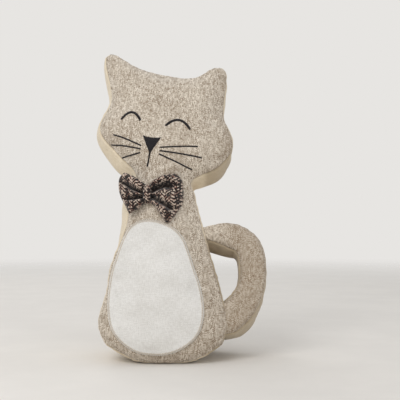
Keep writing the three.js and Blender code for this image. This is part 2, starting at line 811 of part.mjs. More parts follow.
const doorStop = new THREE.Group();
const body = new THREE.Group();
const tail = new THREE.Group();
const face = new THREE.Group();
const bow = new THREE.Group();
doorStop.add(body, tail, face, bow);

body.add(standingMesh("body_gusset", cotton(), filledBody));
body.add(standingMesh("front_panel", tweed(), frontPanel));
body.add(standingMesh("back_panel", tweed(), backPanel));
body.add(standingMesh("belly_patch", patchCotton(), applied(patchShape(), APPLIQUE)));

tail.add(meshOf("tail_gusset", cotton(), filledTail));
tail.add(meshOf("tail_front_panel", tweed(), tailFrontPanel));
tail.add(meshOf("tail_back_panel", tweed(), tailBackPanel));

const leftEye = eyeShape(-1, EYE_LEFT_SPAN, EYE_LEFT_HEIGHT);
const rightEye = eyeShape(1, EYE_RIGHT_SPAN, EYE_RIGHT_HEIGHT);
face.add(standingMesh("eye_left", thread(), applied(leftEye, STITCHING)));
face.add(standingMesh("eye_right", thread(), applied(rightEye, STITCHING)));
face.add(standingMesh("nose", thread(), applied(noseShape(), STITCHING)));
face.add(
  standingMesh("mouth", thread(), applied(strokeShape(mouthLine, MOUTH_STROKE, 3), STITCHING)),
);
for (const [side, word] of [
  [-1, "left"],
  [1, "right"],
]) {
  for (let index = 0; index < WHISKER_REACH_LEFT.length; index++) {
    const name = `whisker_${word}_${index + 1}`;
    face.add(standingMesh(name, thread(), applied(whiskerShape(side, index), STITCHING)));
  }
}

const fittedKnot = knotSolid(0).subtract(bodyRoom(CLEARANCE));
bow.add(standingMesh("bow_knot", bowTweed(), fittedKnot));
const leftWing = wingSolid(-1, WING_LEFT_SPAN, WING_LEFT_RISE, WING_LEFT_DROP);
const rightWing = wingSolid(1, WING_RIGHT_SPAN, WING_RIGHT_RISE, WING_RIGHT_DROP);
bow.add(standingMesh("bow_left_wing", bowTweed(), leftWing));
bow.add(standingMesh("bow_right_wing", bowTweed(), rightWing));

export default doorStop;
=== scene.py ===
"""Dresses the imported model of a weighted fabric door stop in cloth, stitching and a bow tie."""

import math

import bpy
import numpy as np
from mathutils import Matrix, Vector, noise
from mathutils.bvhtree import BVHTree
from mathutils.kdtree import KDTree


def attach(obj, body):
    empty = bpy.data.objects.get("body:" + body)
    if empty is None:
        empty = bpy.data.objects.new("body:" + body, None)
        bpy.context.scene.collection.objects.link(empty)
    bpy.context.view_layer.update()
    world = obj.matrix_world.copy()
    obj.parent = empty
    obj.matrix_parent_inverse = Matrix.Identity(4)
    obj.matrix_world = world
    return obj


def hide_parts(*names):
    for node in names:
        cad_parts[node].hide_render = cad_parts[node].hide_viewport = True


bl_info = {
    "name": "Fabric door stop",
    "version": (1, 0, 0),
    "blender": (4, 5, 0),
    "location": "3D View > Sidebar > Door Stop",
    "description": "Makes the cloth, stitching and bow tie of a weighted fabric door stop",
    "category": "Object",
}

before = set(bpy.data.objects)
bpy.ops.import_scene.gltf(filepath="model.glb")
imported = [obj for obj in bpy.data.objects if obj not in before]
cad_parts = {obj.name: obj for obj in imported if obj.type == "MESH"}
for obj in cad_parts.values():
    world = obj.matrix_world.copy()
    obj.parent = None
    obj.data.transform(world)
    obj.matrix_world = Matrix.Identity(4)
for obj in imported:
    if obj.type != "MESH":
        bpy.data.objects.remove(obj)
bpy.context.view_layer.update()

MM = 0.001

# Stance of the front panel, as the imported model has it, in millimetres and degrees
PANEL_RAKE = math.radians(12)
SEAM_FRONT = -42
SEAM_LIFT = 2
CHEST_HEIGHT = 147
NECK_HEIGHT = 205
NECK_ACROSS = -4.1
HEAD_TILT = math.radians(8)
FACE_SHIFT = -17.8

PANEL_UP = Vector((0, math.sin(PANEL_RAKE), math.cos(PANEL_RAKE)))
PANEL_OUT = Vector((0, -math.cos(PANEL_RAKE), math.sin(PANEL_RAKE)))
PANEL_FOOT = Vector((0, SEAM_FRONT, SEAM_LIFT))

# Regions of a stuffed form, in the order of its material slots
FRONT, GUSSET, BACK = 0, 1, 2


# Numbers and places


def smooth(value, low, high):
    """0 below low, 1 above high, and an even step between them."""
    t = min(max((value - low) / (high - low), 0.0), 1.0)
    return t * t * (3 - 2 * t)


def through(before, here, there, after, f):
    """The place at f, from 0 to 1, between the middle two of four points of a smooth curve."""
    return 0.5 * (
        2 * here
        + (there - before) * f
        + (2 * before - 5 * here + 4 * there - after) * f**2
        + (3 * here - before - 3 * there + after) * f**3
    )


def along_points(points, t):
    """The place at t, from 0 to 1, on a smooth curve through flat points."""
    spots = np.array(points, float)
    steps = np.concatenate([[0], np.cumsum(np.linalg.norm(np.diff(spots, axis=0), axis=1))])
    steps /= steps[-1]
    k = min(int(np.searchsorted(steps, t, side="right")) - 1, len(spots) - 2)
    f = (t - steps[k]) / (steps[k + 1] - steps[k])
    before = spots[max(k - 1, 0)]
    after = spots[min(k + 2, len(spots) - 1)]
    return through(before, spots[k], spots[k + 1], after, f)


def bezier(corners, t):
    """The place at t on a cubic curve with four flat control points."""
    a, b, c, d = (np.array(corner, float) for corner in corners)
    s = 1 - t
    return s**3 * a + 3 * s * s * t * b + 3 * s * t * t * c + t**3 * d


def standing(across, up, proud=0.0):
    """A point of the leaning front panel's own space, in millimetres, as a place in metres."""
    return (PANEL_FOOT + Vector((across, 0, 0)) + PANEL_UP * up + PANEL_OUT * proud) * MM


def on_head(across, up):
    """A point of the head's own frame in the front panel's space."""
    across += FACE_SHIFT
    return (
        NECK_ACROSS + across * math.cos(HEAD_TILT) + up * math.sin(HEAD_TILT),
        NECK_HEIGHT - across * math.sin(HEAD_TILT) + up * math.cos(HEAD_TILT),
    )


# Meshes


def only(piece):
    """Selects one piece and nothing else."""
    bpy.ops.object.select_all(action="DESELECT")
    piece.select_set(True)
    bpy.context.view_layer.objects.active = piece


def corners_of(piece):
    """The vertices of a piece as an array."""
    corners = np.empty(len(piece.data.vertices) * 3)
    piece.data.vertices.foreach_get("co", corners)
    return corners.reshape(-1, 3)


def put_corners(piece, corners):
    """Moves the vertices of a piece to the places in an array."""
    piece.data.vertices.foreach_set("co", np.ascontiguousarray(corners, float).ravel())
    piece.data.update()


def normals_of(piece):
    """The directions that the vertices of a piece face, as an array."""
    normals = np.empty(len(piece.data.vertices) * 3)
    piece.data.vertex_normals.foreach_get("vector", normals)
    return normals.reshape(-1, 3)


def apply_all(piece):
    """Applies every modifier of a piece, first to last."""
    only(piece)
    for modifier in list(piece.modifiers):
        bpy.ops.object.modifier_apply(modifier=modifier.name)


def face_outwards(piece):
    """Turns every face of a closed piece outwards."""
    only(piece)
    bpy.ops.object.mode_set(mode="EDIT")
    bpy.ops.mesh.select_all(action="SELECT")
    bpy.ops.mesh.normals_make_consistent(inside=False)
    bpy.ops.object.mode_set(mode="OBJECT")


def settle(piece, finish, slot, *nodes):
    """Gives a finished piece its cloth, and hides the imported nodes that it stands for. Its slot is
    not used.
    """
    piece.data.materials.clear()
    piece.data.materials.append(finish)
    only(piece)
    bpy.ops.object.shade_smooth()
    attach(piece, "root")
    if nodes:
        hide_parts(*nodes)


def grid_sheet(name, columns, rows, place):
    """A grid whose points go where place(u, v) says, u and v from 0 to 1."""
    bpy.ops.object.select_all(action="DESELECT")
    bpy.ops.mesh.primitive_grid_add(x_subdivisions=columns, y_subdivisions=rows, size=1)
    sheet = bpy.context.object
    sheet.name = name
    sheet.data.name = name
    flat = corners_of(sheet)
    put_corners(sheet, [place(u + 0.5, v + 0.5) for u, v, _ in flat])
    return sheet


def joined(pieces, name):
    """Joins pieces into one."""
    bpy.ops.object.select_all(action="DESELECT")
    for piece in pieces:
        piece.select_set(True)
    bpy.context.view_layer.objects.active = pieces[0]
    bpy.ops.object.join()
    pieces[0].name = name
    pieces[0].data.name = name
    return pieces[0]


def welded(piece, reach, outwards=True):
    """Merges the corners of a piece that lie within reach, and turns its faces outwards."""
    only(piece)
    bpy.ops.object.mode_set(mode="EDIT")
    bpy.ops.mesh.select_all(action="SELECT")
    bpy.ops.mesh.remove_doubles(threshold=reach)
    if outwards:
        bpy.ops.mesh.normals_make_consistent(inside=False)
    bpy.ops.object.mode_set(mode="OBJECT")


# Stuffing and sewing

QUAD_BEND = math.radians(60)
SEAM_PULL = 1.3
SHARP_FADE = 1.2
SHARP_LIMIT = 1.1
SIM_FRAMES = 20
SEAM_REACH = 14


def node_copy(node, name):
    """A copy of a node's mesh with its loose triangles merged into quads."""
    piece = bpy.data.objects.new(name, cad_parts[node].data.copy())
    bpy.context.scene.collection.objects.link(piece)
    only(piece)
    bpy.ops.object.mode_set(mode="EDIT")
    bpy.ops.mesh.select_all(action="SELECT")
    bpy.ops.mesh.remove_doubles(threshold=0.02 * MM)
    bpy.ops.mesh.tris_convert_to_quads(face_threshold=QUAD_BEND, shape_threshold=QUAD_BEND)
    bpy.ops.mesh.select_all(action="DESELECT")
    bpy.ops.object.mode_set(mode="OBJECT")
    return piece


def near_node(corners, node, reach):
    """Which corners lie within reach of a node's own vertices."""
    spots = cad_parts[node].data.vertices
    tree = KDTree(len(spots))
    for k, spot in enumerate(spots):
        tree.insert(spot.co, k)
    tree.balance()
    return np.array([tree.find(corner)[2] < reach for corner in corners])


def seam_pairs(piece):
    """The edges between two regions of a piece."""
    regions = {}
    for face in piece.data.polygons:
        for key in face.edge_keys:
            regions.setdefault(key, set()).add(face.material_index)
    return [edge.index for edge in piece.data.edges if len(regions[edge.key]) > 1]


def mark_regions(piece, region_of):
    """Gives each face the slot of its region, and creases the seams between regions."""
    piece.data.materials.clear()
    for mark in region_marks():
        piece.data.materials.append(mark)
    for face in piece.data.polygons:
        face.material_index = region_of(face)
    crease = piece.data.attributes.new("crease_edge", "FLOAT", "EDGE")
    for index in seam_pairs(piece):
        crease.data[index].value = 1.0


def through_seams(piece):
    """Moves the seams' corners so that rounding leaves the seams about where they are now.

    The move fades out where a seam turns sharply, because there it would make spikes."""
    beside = {}
    for index in seam_pairs(piece):
        first, second = piece.data.edges[index].vertices
        beside.setdefault(first, []).append(second)
        beside.setdefault(second, []).append(first)
    loops = [(corner, *ends) for corner, ends in beside.items() if len(ends) == 2]
    here, before, after = (np.array(column) for column in zip(*loops))
    corners = corners_of(piece)
    pull = corners[here] - (corners[before] + 4 * corners[here] + corners[after]) / 6
    span = np.linalg.norm(corners[after] - corners[before], axis=1)
    sharp = 6 * np.linalg.norm(pull, axis=1) / span
    fade = np.clip(sharp * SHARP_FADE, 0, SHARP_LIMIT)
    corners[here] += pull * (SEAM_PULL - fade)[:, None]
    put_corners(piece, corners)


def rounded(piece, levels):
    """Subdivides a piece smoothly."""
    modifier = piece.modifiers.new("rounding", "SUBSURF")
    modifier.levels = levels
    modifier.render_levels = levels
    apply_all(piece)


def stuffed(piece, swells, slack, also_held=()):
    """Blows a piece up like stuffed cloth between its seams, which stay where they are.

    The swells say how far, in millimetres, the cloth of each region may move."""
    cap = np.empty((len(piece.data.vertices), 1))
    for face in piece.data.polygons:
        cap[list(face.vertices)] = swells[face.material_index] * MM
    held = set(also_held)
    for index in seam_pairs(piece):
        held.update(piece.data.edges[index].vertices)
    group = piece.vertex_groups.new(name="held")
    group.add(sorted(held), 1.0, "REPLACE")
    before = corners_of(piece)
    cloth = piece.modifiers.new("stuffing", "CLOTH")
    settings = cloth.settings
    settings.quality = 5
    settings.mass = 0.2
    settings.tension_stiffness = 12
    settings.compression_stiffness = 12
    settings.shear_stiffness = 4
    settings.bending_stiffness = 0.3
    settings.use_pressure = True
    settings.uniform_pressure_force = 4
    settings.vertex_group_mass = group.name
    settings.pin_stiffness = 1
    settings.shrink_min = -slack
    settings.effector_weights.gravity = 0
    cloth.collision_settings.use_collision = False
    cloth.collision_settings.use_self_collision = False
    cloth.point_cache.frame_start = 1
    cloth.point_cache.frame_end = SIM_FRAMES
    for step in range(1, SIM_FRAMES + 1):
        bpy.context.scene.frame_set(step)
    apply_all(piece)
    bpy.context.scene.frame_set(1)
    moved = corners_of(piece) - before
    length = np.linalg.norm(moved, axis=1, keepdims=True)
    limit = cap * np.tanh(length / cap)
    put_corners(piece, before + moved * limit / np.maximum(length, 1e-9))
    piece.vertex_groups.clear()


def sewn(piece, depth, gather):
    """Draws cloth in along its seams, and gathers it unevenly beside them."""
    corners = corners_of(piece)
    normals = normals_of(piece)
    seam = sorted({v for index in seam_pairs(piece) for v in piece.data.edges[index].vertices})
    tree = KDTree(len(seam))
    for k, index in enumerate(seam):
        tree.insert(corners[index], k)
    tree.balance()
    for k, corner in enumerate(corners):
        spot, _, away = tree.find(corner)
        if away > SEAM_REACH * MM:
            continue
        away /= MM
        groove = depth * math.exp(-((away / 1.5) ** 2))
        pull = noise.noise(spot * 130) + 0.5 * noise.noise(spot * 300)
        ripple = gather * pull * math.exp(-(((away - 3.5) / 3.0) ** 2))
        corners[k] += normals[k] * (ripple - groove) * MM
    put_corners(piece, corners)


def uneven(piece, amount, scale):
    """Lets cloth rise and fall a little, as hand-stuffed cloth does."""
    corners = corners_of(piece)
    normals = normals_of(piece)
    swell = [noise.noise(Vector(corner) / (scale * MM)) for corner in corners]
    put_corners(piece, corners + normals * np.array(swell)[:, None] * amount * MM)


def region_marks():
    """Three empty materials that tell the regions of a form apart until it is split."""
    names = ("region_front", "region_gusset", "region_back")
    return [bpy.data.materials.get(name) or bpy.data.materials.new(name) for name in names]


def parted(piece, thickness):
    """Splits a sewn form into front, gusset and back, each as thick as its cloth."""
    marks = region_marks()
    only(piece)
    bpy.ops.mesh.separate(type="MATERIAL")
    parts = sorted(bpy.context.selected_objects, key=lambda part: marks.index(part.data.materials[0]))
    for part in parts:
        hem = part.modifiers.new("thickness", "SOLIDIFY")
        hem.thickness = thickness * MM
        hem.offset = -1
        apply_all(part)
    return parts


def dressed(parts, rows):
    """Names the parts of a stuffed form, gives each its cloth, and hides the imported node that it
    stands for.
    """
    for part, (name, cloth, node) in zip(parts, rows):
        part.name = name
        part.data.name = name
        settle(part, finish_named(cloth), cloth, node)


def on_floor(piece):
    """Flattens what would reach below the floor."""
    corners = corners_of(piece)
    corners[:, 2] = np.maximum(corners[:, 2], 0.0)
    put_corners(piece, corners)


# The front panel's surface, for what is sewn on it


def outward(up):
    """The direction in which pieces lie on each other over the front panel at a height."""
    turn = PANEL_RAKE * (1 - smooth(up, 0, CHEST_HEIGHT))
    return PANEL_OUT * math.cos(turn) - PANEL_UP * math.sin(turn)


class Skin:
    """The outer surface of the front panel."""

    def __init__(self, piece):
        faces = [tuple(face.vertices) for face in piece.data.polygons]
        self.tree = BVHTree.FromPolygons([tuple(c) for c in corners_of(piece)], faces)

    def spot(self, across, up):
        """The surface's place and direction at a point of the panel's space."""
        ray = outward(up)
        place, normal, _, _ = self.tree.ray_cast(standing(across, up) + ray * 100 * MM, -ray)
        if place is None:
            place, normal, _, _ = self.tree.find_nearest(standing(across, up, 8))
        return place, normal

    def lift(self, across, up):
        """How far the surface stands in front of the seam plane, in millimetres, or None."""
        ray = outward(up)
        place = self.tree.ray_cast(standing(across, up) + ray * 100 * MM, -ray)[0]
        return None if place is None else (place - standing(across, up)).dot(ray) / MM


# Stitches


def stitch_form():
    """The corners and faces of one stitch: a short arched thread, a unit long and wide."""
    bpy.ops.object.select_all(action="DESELECT")
    bpy.ops.mesh.primitive_cylinder_add(vertices=6, radius=0.5, depth=1, rotation=(0, math.pi / 2, 0))
    form = bpy.context.object
    bpy.ops.object.transform_apply(location=False, rotation=True, scale=False)
    bpy.ops.object.mode_set(mode="EDIT")
    bpy.ops.mesh.select_all(action="SELECT")
    for x in (-0.32, 0.0, 0.32):
        bpy.ops.mesh.bisect(plane_co=(x, 0, 0), plane_no=(1, 0, 0))
        bpy.ops.mesh.select_all(action="SELECT")
    bpy.ops.object.mode_set(mode="OBJECT")
    corners = corners_of(form)
    along = 2 * np.abs(corners[:, 0])
    taper = 1 - 0.45 * along**4
    corners[:, 1] *= taper
    corners[:, 2] = corners[:, 2] * taper - 0.8 * along**4
    faces = [tuple(face.vertices) for face in form.data.polygons]
    bpy.data.objects.remove(form)
    return corners, faces


def stitched(name, stitches, skin, width, height):
    """Copies one stitch to many places on the front panel, as one piece.

    Each stitch is its two ends in the panel's space, in millimetres."""
    form, form_faces = stitch_form()
    corners = []
    faces = []
    for start, end in stitches:
        middle, normal = skin.spot((start[0] + end[0]) / 2, (start[1] + end[1]) / 2)
        reach = standing(*end) - standing(*start)
        length = reach.length
        ahead = (reach - normal * reach.dot(normal)).normalized()
        aside = normal.cross(ahead)
        turned = np.array([ahead * length, aside * width * MM, normal * height * MM])
        base = len(corners)
        corners.extend(form @ turned + np.array(middle + normal * 0.25 * height * MM))
        faces.extend(tuple(base + v for v in face) for face in form_faces)
    mesh = bpy.data.meshes.new(name)
    mesh.from_pydata([tuple(corner) for corner in corners], [], faces)
    piece = bpy.data.objects.new(name, mesh)
    bpy.context.scene.collection.objects.link(piece)
    return piece


def across_line(curve, width, pitch, slant=0.25):
    """Stitches side by side across a line, which curve(t) gives in the head's own frame."""
    length = sum(math.dist(curve(k / 40), curve((k + 1) / 40)) for k in range(40))
    count = max(int(length / pitch), 2)
    stitches = []
    for k in range(count + 1):
        t = k / count
        x, y = curve(t)
        ahead = np.array(curve(min(t + 0.02, 1))) - np.array(curve(max(t - 0.02, 0)))
        ahead /= np.linalg.norm(ahead)
        half = width / 2 * (0.6 if k in (0, count) else 1)
        side = np.array([ahead[1], -ahead[0]]) * half + ahead * slant * half
        stitches.append((on_head(x - side[0], y - side[1]), on_head(x + side[0], y + side[1])))
    return stitches


# Shader maths


def shade(red, green, blue):
    """A colour of a screen, 0 to 255, as the linear light that a shader needs."""

    def linear(level):
        level /= 255
        return level / 12.92 if level <= 0.04045 else ((level + 0.055) / 1.055) ** 2.4

    return (linear(red), linear(green), linear(blue), 1.0)


class Tone:
    """A number that varies over a surface. Sums on it add Math nodes."""

    def __init__(self, finish, socket):
        self.finish = finish
        self.socket = socket

    def maths(self, operation, *terms):
        values = dict(enumerate(terms))
        return self.finish.node("ShaderNodeMath", {"operation": operation}, values)

    def __add__(self, other):
        return self.maths("ADD", self, other)

    __radd__ = __add__

    def __sub__(self, other):
        return self.maths("SUBTRACT", self, other)

    def __rsub__(self, other):
        return self.maths("SUBTRACT", other, self)

    def __mul__(self, other):
        return self.maths("MULTIPLY", self, other)

    __rmul__ = __mul__

    def __pow__(self, other):
        return self.maths("POWER", self, other)

    def sine(self):
        return self.maths("SINE", self)

    def size(self):
        return self.maths("ABSOLUTE", self)

    def floor(self):
        return self.maths("FLOOR", self)

    def wrap(self, low, high):
        return self.maths("WRAP", self, high, low)

    def step(self, low, high):
        """0 below low, 1 above high, and an even step between them."""
        values = {0: self, 1: low, 2: high, 3: 0.0, 4: 1.0}
        return self.finish.node("ShaderNodeMapRange", {"interpolation_type": "SMOOTHSTEP"}, values)


class Finish:
    """A cloth or thread material."""

    def __init__(self, name, roughness, sheen=0.0):
        self.material = bpy.data.materials.new(name)
        self.material.use_nodes = True
        self.tree = self.material.node_tree
        self.shader = self.tree.nodes["Principled BSDF"]
        self.shader.inputs["Roughness"].default_value = roughness
        self.shader.inputs["Specular IOR Level"].default_value = 0.25
        self.shader.inputs["Sheen Weight"].default_value = sheen
        self.shader.inputs["Sheen Roughness"].default_value = 0.6

    def node(self, kind, settings, values, output=0):
        """A node of a kind, its settings made first, then its sockets' values or links."""
        node = self.tree.nodes.new(kind)
        for name, value in settings.items():
            setattr(node, name, value)
        for key, value in values.items():
            if isinstance(value, Tone):
                self.tree.links.new(value.socket, node.inputs[key])
            else:
                node.inputs[key].default_value = value
        return Tone(self, node.outputs[output])

    def place(self):
        """Across, up and out of the leaning panels, in millimetres."""
        spot = self.node("ShaderNodeTexCoord", {}, {}, "Object")
        x, y, z = (self.node("ShaderNodeSeparateXYZ", {}, {0: spot}, k) for k in range(3))
        sine, cosine = math.sin(PANEL_RAKE) / MM, math.cos(PANEL_RAKE) / MM
        return x * (1 / MM), y * sine + z * cosine, z * sine - y * cosine

    def noise(self, across, up, out, detail=2.0, roughness=0.5):
        """Smooth noise about a unit in size in the given coordinates, from 0 to 1."""
        vector = self.node("ShaderNodeCombineXYZ", {}, {0: across, 1: up, 2: out})
        values = {"Vector": vector, "Scale": 1.0, "Detail": detail, "Roughness": roughness}
        return self.node("ShaderNodeTexNoise", {}, values)

    def random(self, first, second, seed):
        """A number from 0 to 1 that changes at each whole step of two coordinates."""
        vector = self.node(
            "ShaderNodeCombineXYZ", {}, {0: first.floor(), 1: second.floor(), 2: seed}
        )
        return self.node("ShaderNodeTexWhiteNoise", {}, {"Vector": vector})

    def mix(self, share, colour, other):
        """A colour between two, by a share."""
        return self.node("ShaderNodeMix", {"data_type": "RGBA"}, {0: share, 6: colour, 7: other}, 2)

    def colour(self, value):
        self.tree.links.new(value.socket, self.shader.inputs["Base Color"])

    def relief(self, height, depth, strength=1.0):
        """Raises the surface by a height from 0 to 1 times a depth in millimetres."""
        values = {"Height": height, "Distance": depth * MM, "Strength": strength}
        bump = self.node("ShaderNodeBump", {}, values)
        self.tree.links.new(bump.socket, self.shader.inputs["Normal"])

    def weave(self, first, second, pitch):
        """Plain weave on two coordinates: which thread is on top, and how high it stands."""
        warp = (first * (math.pi / pitch)).sine()
        weft = (second * (math.pi / pitch)).sine()
        on_top = (warp * weft).step(-0.25, 0.25)
        height = on_top * warp.size() + (1 - on_top) * weft.size()
        return on_top, height


# Browns that stand in for shade, mixed in by place
SHADED_TWEED = (128, 104, 74)
SHADED_COTTON = (134, 112, 78)
TWEED_PITCH = 1.15
GUSSET_PITCH = 0.8
PATCH_PITCH = 1.0
HERRINGBONE_COLUMN = 4.8
HERRINGBONE_RIB = 3.7


def tweed_finish(name, light, middle, dark, pitch):
    """Slubby tweed: threads across and up the panel, each uneven in colour along its length.

    It is browner on the tail and low down, in place of shade that the lamps don't give."""
    cloth = Finish(name, 0.95, 0.2)
    across, up, out = cloth.place()
    on_top, height = cloth.weave(across, up, pitch)
    column, row = across * (1 / pitch), up * (1 / pitch)
    shift = cloth.random(column, column, 3.0) * 9.0
    warp = cloth.random(column, up * (0.38 / pitch) + shift, 1.0)
    weft = cloth.random(across * (0.5 / pitch) + cloth.random(row, row, 4.0) * 9.0, row, 2.0)
    fleck = on_top * warp + (1 - on_top) * (weft * 0.6 + 0.2)
    slub = cloth.noise(across * 0.7, up * 0.26, out * 0.05, 3.0, 0.6)
    patches = cloth.noise(across * 0.03, up * 0.03, out * 0.03, 2.0, 0.5)
    tone = (fleck - 0.5) * 0.76 + (slub - 0.5) * 0.58 + (patches - 0.5) * 0.25
    colour = cloth.mix(tone.step(-0.42, 0.02), dark, middle)
    colour = cloth.mix(tone.step(-0.06, 0.4), colour, light)
    on_tail = across.step(56.0, 80.0) * 0.36
    low_down = (1 - up.step(6.0, 70.0)) * 0.12
    cloth.colour(cloth.mix(on_tail + low_down, colour, shade(*SHADED_TWEED)))
    cloth.relief(height * 0.6 + fleck * 0.4, 0.5, 0.7)
    return cloth.material


def cotton_finish(name, light, dark, pitch, around):
    """Plain cotton. Around a gusset its threads follow the depth, and otherwise the panel.

    A gusset is browner under the right cheek and under the tail, in place of shade."""
    cloth = Finish(name, 0.92, 0.2)
    across, up, out = cloth.place()
    first, second = (out, across * 0.6 + up) if around else (across, up)
    on_top, height = cloth.weave(first, second, pitch)
    warp = cloth.noise(first * (0.9 / pitch), second * 0.2, 0.0)
    weft = cloth.noise(first * 0.2, second * (0.9 / pitch), 5.0)
    thread = on_top * warp + (1 - on_top) * weft
    patches = cloth.noise(across * 0.05, up * 0.05, out * 0.05)
    colour = cloth.mix((thread * 0.7 + patches * 0.3).step(0.3, 0.7), dark, light)
    if around:
        right = across.step(40.0, 48.0)
        under_cheek = right * up.step(150.0, 190.0) * (1 - up.step(222.0, 246.0))
        under_tail = right * (1 - up.step(130.0, 140.0))
        colour = cloth.mix(under_cheek * 0.5 + under_tail * 0.5, colour, shade(*SHADED_COTTON))
    cloth.colour(colour)
    cloth.relief(height * 0.7 + thread * 0.3, 0.3, 0.7)
    return cloth.material


def bow_finish(name, light, red, dark):
    """Herringbone tweed: columns of slanting ribs in dark and light yarn, with painted shade in its
    folds.
    """
    cloth = Finish(name, 0.95, 0.15)
    across, up, out = cloth.place()
    column = HERRINGBONE_COLUMN
    bend = (across + out * 0.35).wrap(-column, column).size()
    slant = ((bend + up + out * 0.3) * (2 * math.pi / HERRINGBONE_RIB)).sine()
    stripe = ((across + out * 0.35) * (math.pi / column)).sine()
    fleck = cloth.random(across * 0.6, up * 0.6, 0.0)
    slub = cloth.noise(across * 0.45, up * 0.45, out * 0.45, 2.0, 0.6)
    tint = cloth.noise(across * 0.2, up * 0.2, out * 0.2, 2.0, 0.6)
    tone = slant * 0.4 + stripe * 0.25 + (fleck - 0.5) * 1.3 + (slub - 0.5) * 2.0
    colour = cloth.mix(tone.step(-0.05, 0.38), dark, cloth.mix(tint.step(0.42, 0.72), red, light))
    colour = cloth.mix(tone.step(0.38, 0.7), colour, light)
    # Painted shade: the stored depth of each fold darkens the cloth towards the dark yarn.
    fold = cloth.node("ShaderNodeAttribute", {"attribute_name": "fold"}, {}, "Fac")
    cloth.colour(cloth.mix(fold.step(0.25, 0.85) * 0.85, colour, dark))
    cloth.relief(tone * 0.35 + 0.5, 0.6, 0.8)
    return cloth.material


def thread_finish(name, light, dark):
    """Twisted embroidery thread."""
    thread = Finish(name, 0.5, 0.1)
    across, up, out = thread.place()
    strand = thread.noise(across * 1.6, up * 1.6, out * 1.6)
    thread.colour(thread.mix(strand.step(0.35, 0.65), dark, light))
    thread.relief(thread.noise(across * 5.0, up * 5.0, out * 5.0), 0.12, 0.5)
    return thread.material


def finish_named(name):
    """A finish, made the first time that it is asked for."""
    title = f"{name}_finish"
    made = bpy.data.materials.get(title)
    if made:
        return made
    looks = bpy.context.scene.door_stop_looks
    colours = {key: (*getattr(looks, key), 1.0) for key in looks.colour_names()}
    makers = {
        "tweed": lambda: tweed_finish(
            title, colours["tweed_light"], colours["tweed_middle"], colours["tweed_dark"], TWEED_PITCH
        ),
        "gusset_cotton": lambda: cotton_finish(
            title, colours["cotton_light"], colours["cotton_dark"], GUSSET_PITCH, True
        ),
        "patch_cotton": lambda: cotton_finish(
            title, colours["patch_light"], colours["patch_dark"], PATCH_PITCH, False
        ),
        "bow_tweed": lambda: bow_finish(
            title, colours["bow_light"], colours["bow_red"], colours["bow_dark"]
        ),
        "black_thread": lambda: thread_finish(
            title, colours["thread_light"], colours["thread_dark"]
        ),
        "pale_thread": lambda: thread_finish(title, colours["hem_light"], colours["hem_dark"]),
    }
    return makers[name]()


# Sizes and colours that a user would change


def length_setting(name, description, default):
    """A length in millimetres."""
    return bpy.props.FloatProperty(name=name, description=description, default=default, min=0.0)


def colour_setting(name, description, red, green, blue):
    """A colour, written as on a screen."""
    return bpy.props.FloatVectorProperty(
        name=name,
        description=description,
        default=shade(red, green, blue)[:3],
        subtype="COLOR",
        size=3,
        min=0.0,
        max=1.0,
    )


class DoorStopSizes(bpy.types.PropertyGroup):
    """Lengths in millimetres."""

    body_swell: length_setting("Body swell", "How far stuffing may move the body's cloth", 5.0)
    tail_swell: length_setting("Tail swell", "How far stuffing may move the tail's cloth", 3.0)
    gusset_swell: length_setting("Gusset swell", "How far stuffing may move the gussets", 1.0)
    tuck: length_setting("Tuck", "How far the gusset is drawn in beside the right flank", 2.6)
    left_tuck: length_setting("Left tuck", "How far it is drawn in beside the left flank", 4.6)
    jaw_sag: length_setting("Jaw sag", "How far the gusset hangs below the cheeks", 5.5)
    seam_depth: length_setting("Seam depth", "How deep the seams draw the cloth in", 1.5)
    gather: length_setting("Gather", "How far the cloth puckers beside a seam", 0.8)
    cloth: length_setting("Cloth", "Thickness of the cloth", 0.9)
    patch: length_setting("Patch", "Thickness of the belly patch", 0.9)
    thread: length_setting("Thread", "Width of a stitch", 0.5)


class DoorStopLooks(bpy.types.PropertyGroup):
    """Colours of the cloths and threads."""

    tweed_light: colour_setting("Tweed light", "Light yarn of the tweed", 228, 218, 203)
    tweed_middle: colour_setting("Tweed middle", "Middle yarn of the tweed", 188, 175, 158)
    tweed_dark: colour_setting("Tweed dark", "Dark yarn of the tweed", 136, 118, 98)
    cotton_light: colour_setting("Cotton light", "Light of the gusset's cotton", 234, 220, 197)
    cotton_dark: colour_setting("Cotton dark", "Dark of the gusset's cotton", 214, 199, 171)
    patch_light: colour_setting("Patch light", "Light of the belly patch", 232, 230, 226)
    patch_dark: colour_setting("Patch dark", "Dark of the belly patch", 208, 205, 199)
    bow_light: colour_setting("Bow light", "Light yarn of the bow tie", 198, 182, 166)
    bow_red: colour_setting("Bow red", "Red brown yarn of the bow tie", 108, 64, 50)
    bow_dark: colour_setting("Bow dark", "Dark yarn of the bow tie", 24, 16, 13)
    thread_light: colour_setting("Thread light", "Light of the black thread", 34, 29, 33)
    thread_dark: colour_setting("Thread dark", "Dark of the black thread", 12, 9, 11)
    hem_light: colour_setting("Hem light", "Light of the pale thread", 214, 203, 187)
    hem_dark: colour_setting("Hem dark", "Dark of the pale thread", 176, 160, 139)
    floor: colour_setting("Floor", "Colour of the floor", 228, 224, 218)

    @staticmethod
    def colour_names():
        return list(DoorStopLooks.__annotations__)


# Pieces


def shape_gusset(form, sizes):
    """Draws the gusset in beside the flanks, and lets it hang between its seams at the cheeks."""
    free = np.ones(len(form.data.vertices), bool)
    for face in form.data.polygons:
        if face.material_index != GUSSET:
            free[list(face.vertices)] = False
    corners = corners_of(form)
    for k in np.flatnonzero(free):
        facing = form.data.vertices[k].normal
        height = corners[k][2] / MM
        right = smooth(facing.x, 0.75, 0.95)
        left = smooth(-facing.x, 0.75, 0.95) * (1 - smooth(height, 95, 125))
        below = smooth(-facing.z, 0.4, 0.8) * smooth(height, CHEST_HEIGHT, NECK_HEIGHT)
        corners[k][0] += (left * sizes.left_tuck - right * sizes.tuck) * MM
        corners[k][2] -= below * sizes.jaw_sag * MM
    put_corners(form, corners)


